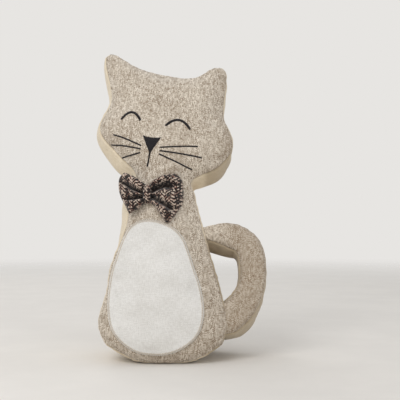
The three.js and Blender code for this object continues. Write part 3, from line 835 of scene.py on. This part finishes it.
def make_body(sizes):
    """Stuffs the body, draws its seams in and splits it into its two panels and gusset."""
    form = node_copy("body_gusset", "body")
    corners = corners_of(form)
    front = near_node(corners, "front_panel", 0.6 * MM)
    back = near_node(corners, "back_panel", 0.6 * MM)

    def region_of(face):
        if all(front[v] for v in face.vertices):
            return FRONT
        return BACK if all(back[v] for v in face.vertices) else GUSSET

    mark_regions(form, region_of)
    shape_gusset(form, sizes)
    through_seams(form)
    rounded(form, 2)
    base = np.flatnonzero(corners_of(form)[:, 2] < 0.6 * MM)
    swells = (sizes.body_swell, sizes.gusset_swell, sizes.body_swell)
    stuffed(form, swells, 0.015, base.tolist())
    rounded(form, 1)
    sewn(form, sizes.seam_depth, sizes.gather)
    uneven(form, 0.7, 32)
    on_floor(form)
    rows = (
        ("front_cloth", "tweed", "front_panel"),
        ("gusset_cloth", "gusset_cotton", "body_gusset"),
        ("back_cloth", "tweed", "back_panel"),
    )
    dressed(parted(form, sizes.cloth), rows)


# The tail's middle line as two curves, its root to its bend and its bend to its tip, then its
# sizes in millimetres and its shares from 0 to 1
TAIL_LOW = ((67.4, 46.3), (83.7, 57.2), (97.0, 72.5), (97.0, 101))
TAIL_HIGH = ((97.0, 101), (97.0, 136.3), (80.5, 142.5), (42.0, 142.5))
TAIL_BEND = 0.445
TAIL_SETBACK = 8
TAIL_DEPTH = 60
TAIL_SKEW = 4.5
TAIL_BULGE = 1
TAIL_SAG = 7
TAIL_CROWN = 0.5
TAIL_ROOT_RUN = 15
TAIL_TIP_RUN = 7
TAIL_ROOT_HALF = 18
TAIL_MIDDLE_HALF = 15.5
TAIL_TIP_HALF = 7.5
TAIL_ROOT_END = 0.35
TAIL_TAPER = (0.8, 1.04)
TAIL_END_SHARE = 0.04
TAIL_ROOT_NARROW = 0.35
TAIL_OUTER_SWELL = 3.5


def tail_line(t):
    """Middle line of the tail from root to tip."""
    if t < TAIL_BEND:
        return bezier(TAIL_LOW, t / TAIL_BEND)
    return bezier(TAIL_HIGH, (t - TAIL_BEND) / (1 - TAIL_BEND))


def tail_half(t):
    """Half the tail's width."""
    narrowing = TAIL_ROOT_HALF - TAIL_MIDDLE_HALF
    low = TAIL_ROOT_HALF - narrowing * smooth(t, 0, TAIL_ROOT_END)
    return low + (TAIL_TIP_HALF - low) * smooth(t, *TAIL_TAPER)


def tail_spot(u, v):
    """A point of the tail's surface: u around it from the front's inner seam, v along it."""
    share = v * (1 + 2 * TAIL_END_SHARE) - TAIL_END_SHARE
    t = min(max(share, 0.0), 1.0)
    beyond = (share - t) / TAIL_END_SHARE
    beyond *= TAIL_ROOT_RUN if beyond < 0 else TAIL_TIP_RUN
    ahead = tail_line(min(t + 0.01, 1)) - tail_line(max(t - 0.01, 0))
    ahead /= np.linalg.norm(ahead)
    middle = tail_line(t) + ahead * beyond
    half = tail_half(t) * (1 - TAIL_ROOT_NARROW * min(max(-beyond / TAIL_ROOT_RUN, 0), 1))
    side, along = divmod(u * 4, 1)
    swell = math.sin(math.pi * along)
    if side == 0:
        across = half * (2 * along - 1)
        behind = -TAIL_CROWN * math.sqrt(max(half**2 - across**2, 0))
    elif side == 1:
        drawn_in = 2 * TAIL_OUTER_SWELL * smooth(t, 0.08, TAIL_ROOT_END)
        across = half + (TAIL_OUTER_SWELL - drawn_in) * swell
        behind = TAIL_DEPTH * along
    elif side == 2:
        across = half * (1 - 2 * along)
        behind = TAIL_DEPTH + TAIL_CROWN * math.sqrt(max(half**2 - across**2, 0))
    else:
        under = smooth(t, 0.7, 0.97)
        across = -half - (TAIL_BULGE + (TAIL_SAG - TAIL_BULGE) * under) * swell
        behind = TAIL_DEPTH * (1 - along)
    x, y = middle + across * np.array([ahead[1], -ahead[0]])
    place = standing(x + TAIL_SKEW * behind / TAIL_DEPTH, y, -TAIL_SETBACK - behind)
    place.z = max(place.z, 0.0)
    return place


def make_tail(sizes):
    """Stuffs the tail, whose ends run into the body's side."""
    around = 48
    form = grid_sheet("tail", around, 56, lambda u, v: tail_spot(u % 1.0, v))
    welded(form, 0.02 * MM)
    columns = around // 4

    def region_of(face):
        side = (face.index % around) // columns
        return (FRONT, GUSSET, BACK, GUSSET)[side]

    mark_regions(form, region_of)
    uses = np.bincount(np.array([loop.edge_index for loop in form.data.loops]))
    ends = {v for edge in np.flatnonzero(uses == 1) for v in form.data.edges[edge].vertices}
    stuffed(form, (sizes.tail_swell, sizes.gusset_swell, sizes.tail_swell), 0.01, ends)
    rounded(form, 1)
    sewn(form, sizes.seam_depth, sizes.gather)
    uneven(form, 0.5, 24)
    on_floor(form)
    rows = (
        ("tail_front_cloth", "tweed", "tail_front_panel"),
        ("tail_gusset_cloth", "gusset_cotton", "tail_gusset"),
        ("tail_back_cloth", "tweed", "tail_back_panel"),
    )
    dressed(parted(form, sizes.cloth), rows)


# The belly patch's outline in the front panel's space, in millimetres, anticlockwise from its
# right
PATCH_OUTLINE = (
    (41.3, 52.7),
    (40.3, 66.5),
    (36.8, 83),
    (32.6, 94.3),
    (27.2, 110.5),
    (23.3, 121.3),
    (19.2, 131.2),
    (11.6, 140.2),
    (2.8, 145.9),
    (-7.1, 149.9),
    (-15.5, 151.8),
    (-25.5, 152.2),
    (-35.0, 149.6),
    (-42.0, 143.0),
    (-47.6, 131.5),
    (-53.7, 113.5),
    (-58.5, 96.5),
    (-61.0, 79.5),
    (-61.6, 66.0),
    (-60.4, 52.2),
    (-57.7, 39.6),
    (-52.2, 29.7),
    (-43.3, 20.8),
    (-31.5, 13.5),
    (-18.5, 9.9),
    (-4.4, 9.4),
    (9.5, 12.2),
    (22.6, 18.7),
    (32.9, 27.4),
    (39.2, 39.6),
)
PATCH_MIDDLE = np.array([-12.0, 72.0])
HEM_TEETH = 480
HEM_OUTSIDE = 1.008
HEM_INSIDE = 0.955


def patch_edge(t):
    """A point of the belly patch's outline, t from 0 to 1."""
    count = len(PATCH_OUTLINE)
    k, f = divmod(t * count, 1)
    spots = [np.array(PATCH_OUTLINE[(int(k) + step) % count]) for step in (-1, 0, 1, 2)]
    return through(*spots, f)


def patch_ring(count):
    """Points of the belly patch's outline, evenly spaced."""
    fine = np.array([patch_edge(k / 1200) for k in range(1201)])
    steps = np.linalg.norm(np.diff(fine, axis=0), axis=1)
    reach = np.concatenate([[0], np.cumsum(steps)])
    even = np.linspace(0, reach[-1], count, endpoint=False)
    return np.column_stack([np.interp(even, reach, fine[:, axis]) for axis in (0, 1)])


def make_patch(sizes):
    """Lays the belly patch on the front panel, with a turned hem and a row of stitches."""
    skin = Skin(bpy.data.objects["front_cloth"])
    around = 144
    ring = patch_ring(around)

    def place(u, v):
        share = 1 - (1 - v) ** 1.6
        x, y = PATCH_MIDDLE + (ring[round(u * around) % around] - PATCH_MIDDLE) * share
        spot, normal = skin.spot(x, y)
        inside = (1 - share) * 50
        hem = 0.55 * math.exp(-(((inside - 1.8) / 1.5) ** 2)) - 0.7 * math.exp(-((inside / 0.5) ** 2))
        return spot + normal * (sizes.patch + hem) * MM

    patch = grid_sheet("belly_cloth", around, 30, place)
    welded(patch, 0.01 * MM, outwards=False)
    hem = patch.modifiers.new("thickness", "SOLIDIFY")
    hem.thickness = sizes.patch * MM
    hem.offset = -1
    rounded(patch, 1)
    settle(patch, finish_named("patch_cotton"), "patch_cotton", "belly_patch")
    teeth = PATCH_MIDDLE + (patch_ring(HEM_TEETH) - PATCH_MIDDLE) * HEM_OUTSIDE
    teeth[1::2] = PATCH_MIDDLE + (teeth[1::2] - PATCH_MIDDLE) * HEM_INSIDE
    stitches = [(tuple(teeth[k - 1]), tuple(teeth[k])) for k in range(len(teeth))]
    hem_stitches = stitched("belly_stitches", stitches, Skin(patch), sizes.thread, sizes.thread)
    settle(hem_stitches, finish_named("pale_thread"), "patch_cotton")


# The face in the head's own frame, in millimetres, the left one first where there are two
EYE_SPACING = 27.3
EYE_RISE = 9
EYE_SPANS = (22.5, 27.8)
EYE_HEIGHTS = (57.3, 54.3)
EYE_STROKE = 3.5
MOUTH_TOP = (0.2, 22.0)
MOUTH_RUN = (-0.9, -15.4)
MOUTH_STROKE = 2.5
WHISKER_STROKE = 2.1
WHISKER_START = 10.8
WHISKER_TOP = 28.6
WHISKER_PITCH = 3.7
WHISKER_BEND = 0.6
WHISKER_REACH = ((34.6, 36, 21.5), (41.7, 47.8, 38.6))
WHISKER_RISE = ((11.2, 5, -4.8), (7.6, 0, -10.6))
STITCH_PITCH = 0.42
STITCH_HEIGHT = 0.9


def eye_line(side, span, height):
    """A closed eye: an arc that bows upwards."""
    middle = side * EYE_SPACING
    corners = (
        (middle - span / 2, height),
        (middle - span * 0.2, height + EYE_RISE * 1.3),
        (middle + span * 0.15, height + EYE_RISE * 1.4),
        (middle + span / 2, height),
    )
    return lambda t: tuple(bezier(corners, t))


def whisker_line(side, index):
    """A whisker that curves a little on its way out."""
    reach = WHISKER_REACH[side > 0][index]
    rise = WHISKER_RISE[side > 0][index]
    start = (side * WHISKER_START, WHISKER_TOP - index * WHISKER_PITCH)
    end = (start[0] + side * reach, start[1] + rise)
    sag = ((start[0] + end[0]) / 2, start[1] + rise * WHISKER_BEND)
    corners = (
        start,
        tuple(np.array(start) / 3 + np.array(sag) * 2 / 3),
        tuple(np.array(end) / 3 + np.array(sag) * 2 / 3),
        end,
    )
    return lambda t: tuple(bezier(corners, t))


NOSE_TIP = 20.6
NOSE_TOP = 39.6
NOSE_HALF = 10.0
NOSE_MIDDLE = 0.56


def nose_stitches(pitch):
    """Upright stitches side by side that fill the nose, an upside-down triangle."""
    stitches = []
    half_deep = (NOSE_TOP - NOSE_TIP) / 2
    count = round(NOSE_HALF / pitch)
    for k in range(-count, count + 1):
        share = abs(k) / count
        low = NOSE_TIP + half_deep * min(share / NOSE_MIDDLE, 1)
        low += half_deep * max(share - NOSE_MIDDLE, 0) / (1 - NOSE_MIDDLE)
        high = NOSE_TOP + 0.7 - (1 - share)
        across = k * pitch
        if high - low > 9:
            middle = (high + low) / 2
            stitches.append((on_head(across, low - 0.3), on_head(across, middle + 1.5)))
            stitches.append((on_head(across, middle - 1.5), on_head(across, high)))
        stitches.append((on_head(across, low - 0.3), on_head(across, high)))
    return stitches


def mouth_line(t):
    """The mouth: a straight line down from the nose."""
    return (MOUTH_TOP[0] + MOUTH_RUN[0] * t, MOUTH_TOP[1] + MOUTH_RUN[1] * t)


def make_face(sizes):
    """Embroiders the closed eyes, nose, mouth and whiskers."""
    skin = Skin(bpy.data.objects["front_cloth"])
    finish = finish_named("black_thread")
    left_eye, right_eye = (
        across_line(eye_line(side, span, height), EYE_STROKE, STITCH_PITCH)
        for side, span, height in zip((-1, 1), EYE_SPANS, EYE_HEIGHTS)
    )
    runs = {
        "eye_left": left_eye,
        "eye_right": right_eye,
        "mouth": across_line(mouth_line, MOUTH_STROKE, STITCH_PITCH),
        "nose": nose_stitches(STITCH_PITCH),
    }
    for side, word in ((-1, "left"), (1, "right")):
        for index in range(3):
            line = whisker_line(side, index)
            runs[f"whisker_{word}_{index + 1}"] = across_line(line, WHISKER_STROKE, STITCH_PITCH)
    for node, stitches in runs.items():
        piece = stitched(f"{node}_stitches", stitches, skin, sizes.thread, STITCH_HEIGHT)
        settle(piece, finish, "black_thread", node)


# The bow tie in the front panel's space, in millimetres. A fold is a line from the knot out,
# its half width and its depth
KNOT_MIDDLE = (-20.8, 181.0)
KNOT_HALF_WIDE = 5.4
KNOT_HALF_TALL = 11.0
KNOT_HALF_DEEP = 7.8
KNOT_PROUD = 5.0
LEFT_THICK = 11.0
RIGHT_THICK = 12.0
DEEP_FOLD = 12

LEFT_WING = {
    "root": ((-22.0, 172.5), (-23.0, 182), (-22.5, 192.0)),
    "mouth": (
        (-40.9, 160.0),
        (-46.8, 171.8),
        (-51.3, 180.4),
        (-53.9, 191),
        (-53.3, 202.2),
        (-47.0, 208.9),
    ),
    "lower": ((-22.0, 172.5), (-31.0, 164.9), (-40.9, 160.0)),
    "upper": ((-22.5, 192.0), (-29.0, 197.2), (-36.0, 202.4), (-47.0, 208.9)),
}
LEFT_FOLDS = (
    (((-25, 183), (-33.4, 185.6), (-45, 193.5), (-53.5, 199.5)), 2.5, 10.5),
    (((-25, 178.0), (-36, 176.6), (-47.5, 177.0)), 2.5, 10.5),
    (((-30, 181.5), (-42, 185.6), (-52.5, 188.0)), 0.9, 2.0),
)
RIGHT_WING = {
    "root": ((-18.5, 171.0), (-18.0, 182), (-18.5, 192.0)),
    "mouth": (
        (1.0, 147.2),
        (7.3, 151.4),
        (13.3, 161.3),
        (17.5, 168.5),
        (19.4, 175),
        (19.8, 183.5),
        (19.2, 192.8),
        (17.0, 200.4),
        (10.5, 205.4),
    ),
    "lower": ((-18.5, 171.0), (-13, 168.5), (-7.5, 160), (1.0, 147.2)),
    "upper": ((-18.5, 192.0), (-12.4, 197.2), (-2.2, 202.5), (10.5, 205.4)),
}
RIGHT_FOLDS = (
    (((-14.5, 185.0), (-8.5, 188), (-0.5, 190.8), (9.0, 188.5)), 4.0, 12.0),
    (((-14.5, 177), (-9.5, 173.5), (0, 167.5), (10.5, 161.3)), 2.8, 10.5),
    (((-13, 181.5), (-4, 181), (9, 176)), 1.0, 2.5),
)


def fold_lines(folds):
    """Points along each fold line, with the fold's half width and depth."""
    shares = np.linspace(0, 1, 33)
    return [
        (np.array([along_points(line, t) for t in shares]), width, depth)
        for line, width, depth in folds
    ]


def fold_depth(spot, lines):
    """How deep the folds cut at a flat point. They fade out at their outer ends."""
    total = 0.0
    for line, width, depth in lines:
        reaches = np.linalg.norm(line - spot, axis=1)
        nearest = int(np.argmin(reaches))
        share = nearest / (len(line) - 1)
        fade = 1 - smooth(share, 0.7, 1.15)
        total = max(total, depth * fade * math.exp(-((reaches[nearest] / width) ** 2)))
    return total


def shade_folds(wing, lines):
    """Stores how deep in a fold each point of a wing is, from 0 to 1, for the painted shade in its
    finish.
    """
    places = corners_of(wing) - np.array(PANEL_FOOT) * MM
    deep = [
        fold_depth(np.array([x / MM, np.dot((x, y, z), PANEL_UP) / MM]), lines) / DEEP_FOLD
        for x, y, z in places
    ]
    wing.data.attributes.new("fold", "FLOAT", "POINT").data.foreach_set("value", deep)


def make_wing(name, node, outline, folds, seat, thick):
    """A wing of the bow tie: a stuffed loop of cloth with folds that run out from the knot."""
    count = 60
    table = {
        key: [along_points(points, k / count) for k in range(count + 1)]
        for key, points in outline.items()
    }
    lines = fold_lines(folds)

    def flat(u, v):
        row = round(v * count)
        inner, outer = table["root"][row], table["mouth"][row]
        spot = inner + (outer - inner) * u
        for key, weight in (("lower", (1 - v) ** 3), ("upper", v**3)):
            edge = along_points(outline[key], u)
            start, stop = np.array(outline[key][0]), np.array(outline[key][-1])
            spot = spot + (edge - start - (stop - start) * u) * weight
        return spot

    def place(u, v, front):
        spot = flat(u, v)
        low = seat(spot)
        if not front:
            return standing(*spot, low)
        rim = min(1.0, (1 - (2 * v - 1) ** 6)) ** 0.5 * (1 - u**9) ** 0.5 * min(1.0, u * 10) ** 0.5
        swell = 0.72 + 0.28 * math.sin(math.pi * min(u * 0.9 + 0.1, 1))
        crumple = noise.noise(Vector((u * 2.0, v * 9.0, len(name)))) * 1.1
        high = thick * swell + crumple - fold_depth(spot, lines)
        return standing(*spot, low + max(high, 0.6) * rim)

    sheets = [
        grid_sheet(f"{name}_{word}", 34, count, lambda u, v, f=front: place(u, v, f))
        for word, front in (("front", True), ("back", False))
    ]
    wing = joined(sheets, name)
    welded(wing, 0.02 * MM)
    rounded(wing, 1)
    shade_folds(wing, lines)
    settle(wing, finish_named("bow_tweed"), "bow_tweed", node)


def make_bow():
    """Ties the bow: two folded wings and the knot that gathers them."""
    skin = Skin(bpy.data.objects["front_cloth"])
    middle = skin.lift(*KNOT_MIDDLE)

    def seat(spot):
        away = smooth(abs(spot[0] - KNOT_MIDDLE[0]), 4, 36)
        free = middle - 0.5 * middle * away
        return max(free, skin.lift(*spot) or 0.0) + 0.8

    make_wing("bow_left_cloth", "bow_left_wing", LEFT_WING, LEFT_FOLDS, seat, LEFT_THICK)
    make_wing("bow_right_cloth", "bow_right_wing", RIGHT_WING, RIGHT_FOLDS, seat, RIGHT_THICK)
    bpy.ops.object.select_all(action="DESELECT")
    bpy.ops.mesh.primitive_uv_sphere_add(segments=56, ring_count=40, radius=1)
    knot = bpy.context.object
    knot.name = "bow_knot_cloth"
    knot.data.name = "bow_knot_cloth"
    lift = middle + KNOT_PROUD
    places = []
    for x, y, z in corners_of(knot):
        wide = KNOT_HALF_WIDE * math.copysign(abs(x) ** 0.8, x) * (1 - 0.14 * (1 - z * z))
        tall = KNOT_HALF_TALL * math.copysign(abs(z) ** 0.85, z)
        pleat = 0.7 * math.exp(-(((wide + 2.0 + 0.08 * tall) / 0.8) ** 2))
        pleat += 0.6 * math.exp(-(((wide - 2.4 + 0.05 * tall) / 0.8) ** 2))
        deep = KNOT_HALF_DEEP * -y - (pleat if y < 0 else 0)
        spot = (KNOT_MIDDLE[0] + wide, KNOT_MIDDLE[1] + tall)
        places.append(standing(*spot, lift + deep))
    put_corners(knot, places)
    face_outwards(knot)
    settle(knot, finish_named("bow_tweed"), "bow_tweed", "bow_knot")


# Floor, light and camera


# Each lamp's place in metres, its power in watts and its size in metres
LAMPS = (
    ("key_light", (-0.6, -1.1, 1.15), 9.5, 0.8),
    ("fill_light", (0.9, -1.2, 0.5), 2.0, 1.0),
    ("back_light", (-0.6, 1.2, 1.2), 4.0, 0.8),
)
LAMP_AIM = Vector((0, 0, 0.15))
WORLD_LIGHT = (0.985, 0.99, 1.0, 1.0)
WORLD_STRENGTH = 0.685
WORLD_SEEN = (231, 229, 226)
CAMERA_PLACE = (0.0378, -0.8223, 0.1487)
CAMERA_TILT = math.radians(92)
CAMERA_LENS = 65
FLOOR_FADE = (0.9, 2.6)


def make_stage(looks):
    """A pale floor that fades into a pale world, soft light, and the camera."""
    bpy.ops.object.select_all(action="DESELECT")
    bpy.ops.mesh.primitive_circle_add(vertices=96, radius=3.0, fill_type="NGON")
    floor = bpy.context.object
    floor.name = "floor"
    finish = Finish("floor", 0.8)
    spot = finish.node("ShaderNodeTexCoord", {}, {}, "Object")
    x, y = (finish.node("ShaderNodeSeparateXYZ", {}, {0: spot}, k) for k in range(2))
    away = (x * x + y * y) ** 0.5
    veins = finish.noise(x * 9.0, y * 9.0, 0.0, 5.0, 0.6)
    pale = (*looks.floor, 1.0)
    warm = tuple(level * 0.96 for level in looks.floor) + (1.0,)
    finish.colour(finish.mix(veins.step(0.35, 0.7), warm, pale))
    clear = finish.node("ShaderNodeBsdfTransparent", {}, {})
    shown = Tone(finish, finish.shader.outputs[0])
    fade = away.step(*FLOOR_FADE)
    mixed = finish.node("ShaderNodeMixShader", {}, {0: fade, 1: shown, 2: clear})
    finish.tree.links.new(mixed.socket, finish.tree.nodes["Material Output"].inputs["Surface"])
    floor.data.materials.append(finish.material)

    world = bpy.data.worlds.new("studio")
    bpy.context.scene.world = world
    world.use_nodes = True
    tree = world.node_tree
    lit = tree.nodes["Background"]
    lit.inputs[0].default_value = WORLD_LIGHT
    lit.inputs[1].default_value = WORLD_STRENGTH
    seen = tree.nodes.new("ShaderNodeBackground")
    seen.inputs[0].default_value = shade(*WORLD_SEEN)
    seen.inputs[1].default_value = 1.0
    rays = tree.nodes.new("ShaderNodeLightPath")
    either = tree.nodes.new("ShaderNodeMixShader")
    tree.links.new(rays.outputs["Is Camera Ray"], either.inputs[0])
    tree.links.new(lit.outputs[0], either.inputs[1])
    tree.links.new(seen.outputs[0], either.inputs[2])
    tree.links.new(either.outputs[0], tree.nodes["World Output"].inputs["Surface"])

    for name, place, power, size in LAMPS:
        aim = (LAMP_AIM - Vector(place)).to_track_quat("-Z", "Y").to_euler()
        bpy.ops.object.light_add(type="AREA", location=place, rotation=aim)
        lamp = bpy.context.object
        lamp.name = name
        lamp.data.energy = power
        lamp.data.size = size

    bpy.ops.object.camera_add(location=CAMERA_PLACE, rotation=(CAMERA_TILT, 0, 0))
    camera = bpy.context.object
    camera.name = "camera"
    camera.data.lens = CAMERA_LENS
    camera.data.sensor_width = 36
    bpy.context.scene.camera = camera
    bpy.context.scene.view_settings.view_transform = "Standard"


# Operators and panel


class DOORSTOP_OT_body(bpy.types.Operator):
    """Stuff the body between its front panel, back panel and gusset"""

    bl_idname = "door_stop.body"
    bl_label = "Body"

    def execute(self, context):
        make_body(context.scene.door_stop_sizes)
        return {"FINISHED"}


class DOORSTOP_OT_tail(bpy.types.Operator):
    """Stuff the tail and sew it to the side"""

    bl_idname = "door_stop.tail"
    bl_label = "Tail"

    def execute(self, context):
        make_tail(context.scene.door_stop_sizes)
        return {"FINISHED"}


class DOORSTOP_OT_patch(bpy.types.Operator):
    """Sew the belly patch on"""

    bl_idname = "door_stop.patch"
    bl_label = "Belly patch"

    def execute(self, context):
        make_patch(context.scene.door_stop_sizes)
        return {"FINISHED"}


class DOORSTOP_OT_face(bpy.types.Operator):
    """Embroider the face"""

    bl_idname = "door_stop.face"
    bl_label = "Face"

    def execute(self, context):
        make_face(context.scene.door_stop_sizes)
        return {"FINISHED"}


class DOORSTOP_OT_bow(bpy.types.Operator):
    """Tie the bow at the neck"""

    bl_idname = "door_stop.bow"
    bl_label = "Bow tie"

    def execute(self, context):
        make_bow()
        return {"FINISHED"}


class DOORSTOP_OT_stage(bpy.types.Operator):
    """Set up the floor, the light and the camera"""

    bl_idname = "door_stop.stage"
    bl_label = "Stage"

    def execute(self, context):
        make_stage(context.scene.door_stop_looks)
        return {"FINISHED"}


OPERATORS = (
    DOORSTOP_OT_stage,
    DOORSTOP_OT_body,
    DOORSTOP_OT_tail,
    DOORSTOP_OT_patch,
    DOORSTOP_OT_face,
    DOORSTOP_OT_bow,
)


class DOORSTOP_PT_pieces(bpy.types.Panel):
    """The door stop's pieces, sizes and colours"""

    bl_idname = "DOORSTOP_PT_pieces"
    bl_label = "Fabric door stop"
    bl_space_type = "VIEW_3D"
    bl_region_type = "UI"
    bl_category = "Door Stop"

    def draw(self, context):
        for operator in OPERATORS:
            self.layout.operator(operator.bl_idname)
        for group in (context.scene.door_stop_sizes, context.scene.door_stop_looks):
            for name in type(group).__annotations__:
                self.layout.prop(group, name)


CLASSES = (DoorStopSizes, DoorStopLooks, *OPERATORS, DOORSTOP_PT_pieces)


def register():
    for each in CLASSES:
        bpy.utils.register_class(each)
    bpy.types.Scene.door_stop_sizes = bpy.props.PointerProperty(type=DoorStopSizes)
    bpy.types.Scene.door_stop_looks = bpy.props.PointerProperty(type=DoorStopLooks)


def unregister():
    del bpy.types.Scene.door_stop_looks
    del bpy.types.Scene.door_stop_sizes
    for each in reversed(CLASSES):
        bpy.utils.unregister_class(each)


def main():
    register()
    bpy.ops.door_stop.stage()
    bpy.ops.door_stop.body()
    bpy.ops.door_stop.tail()
    bpy.ops.door_stop.patch()
    bpy.ops.door_stop.face()
    bpy.ops.door_stop.bow()
    for mark in region_marks():
        bpy.data.materials.remove(mark)


if __name__ == "__main__":
    main()
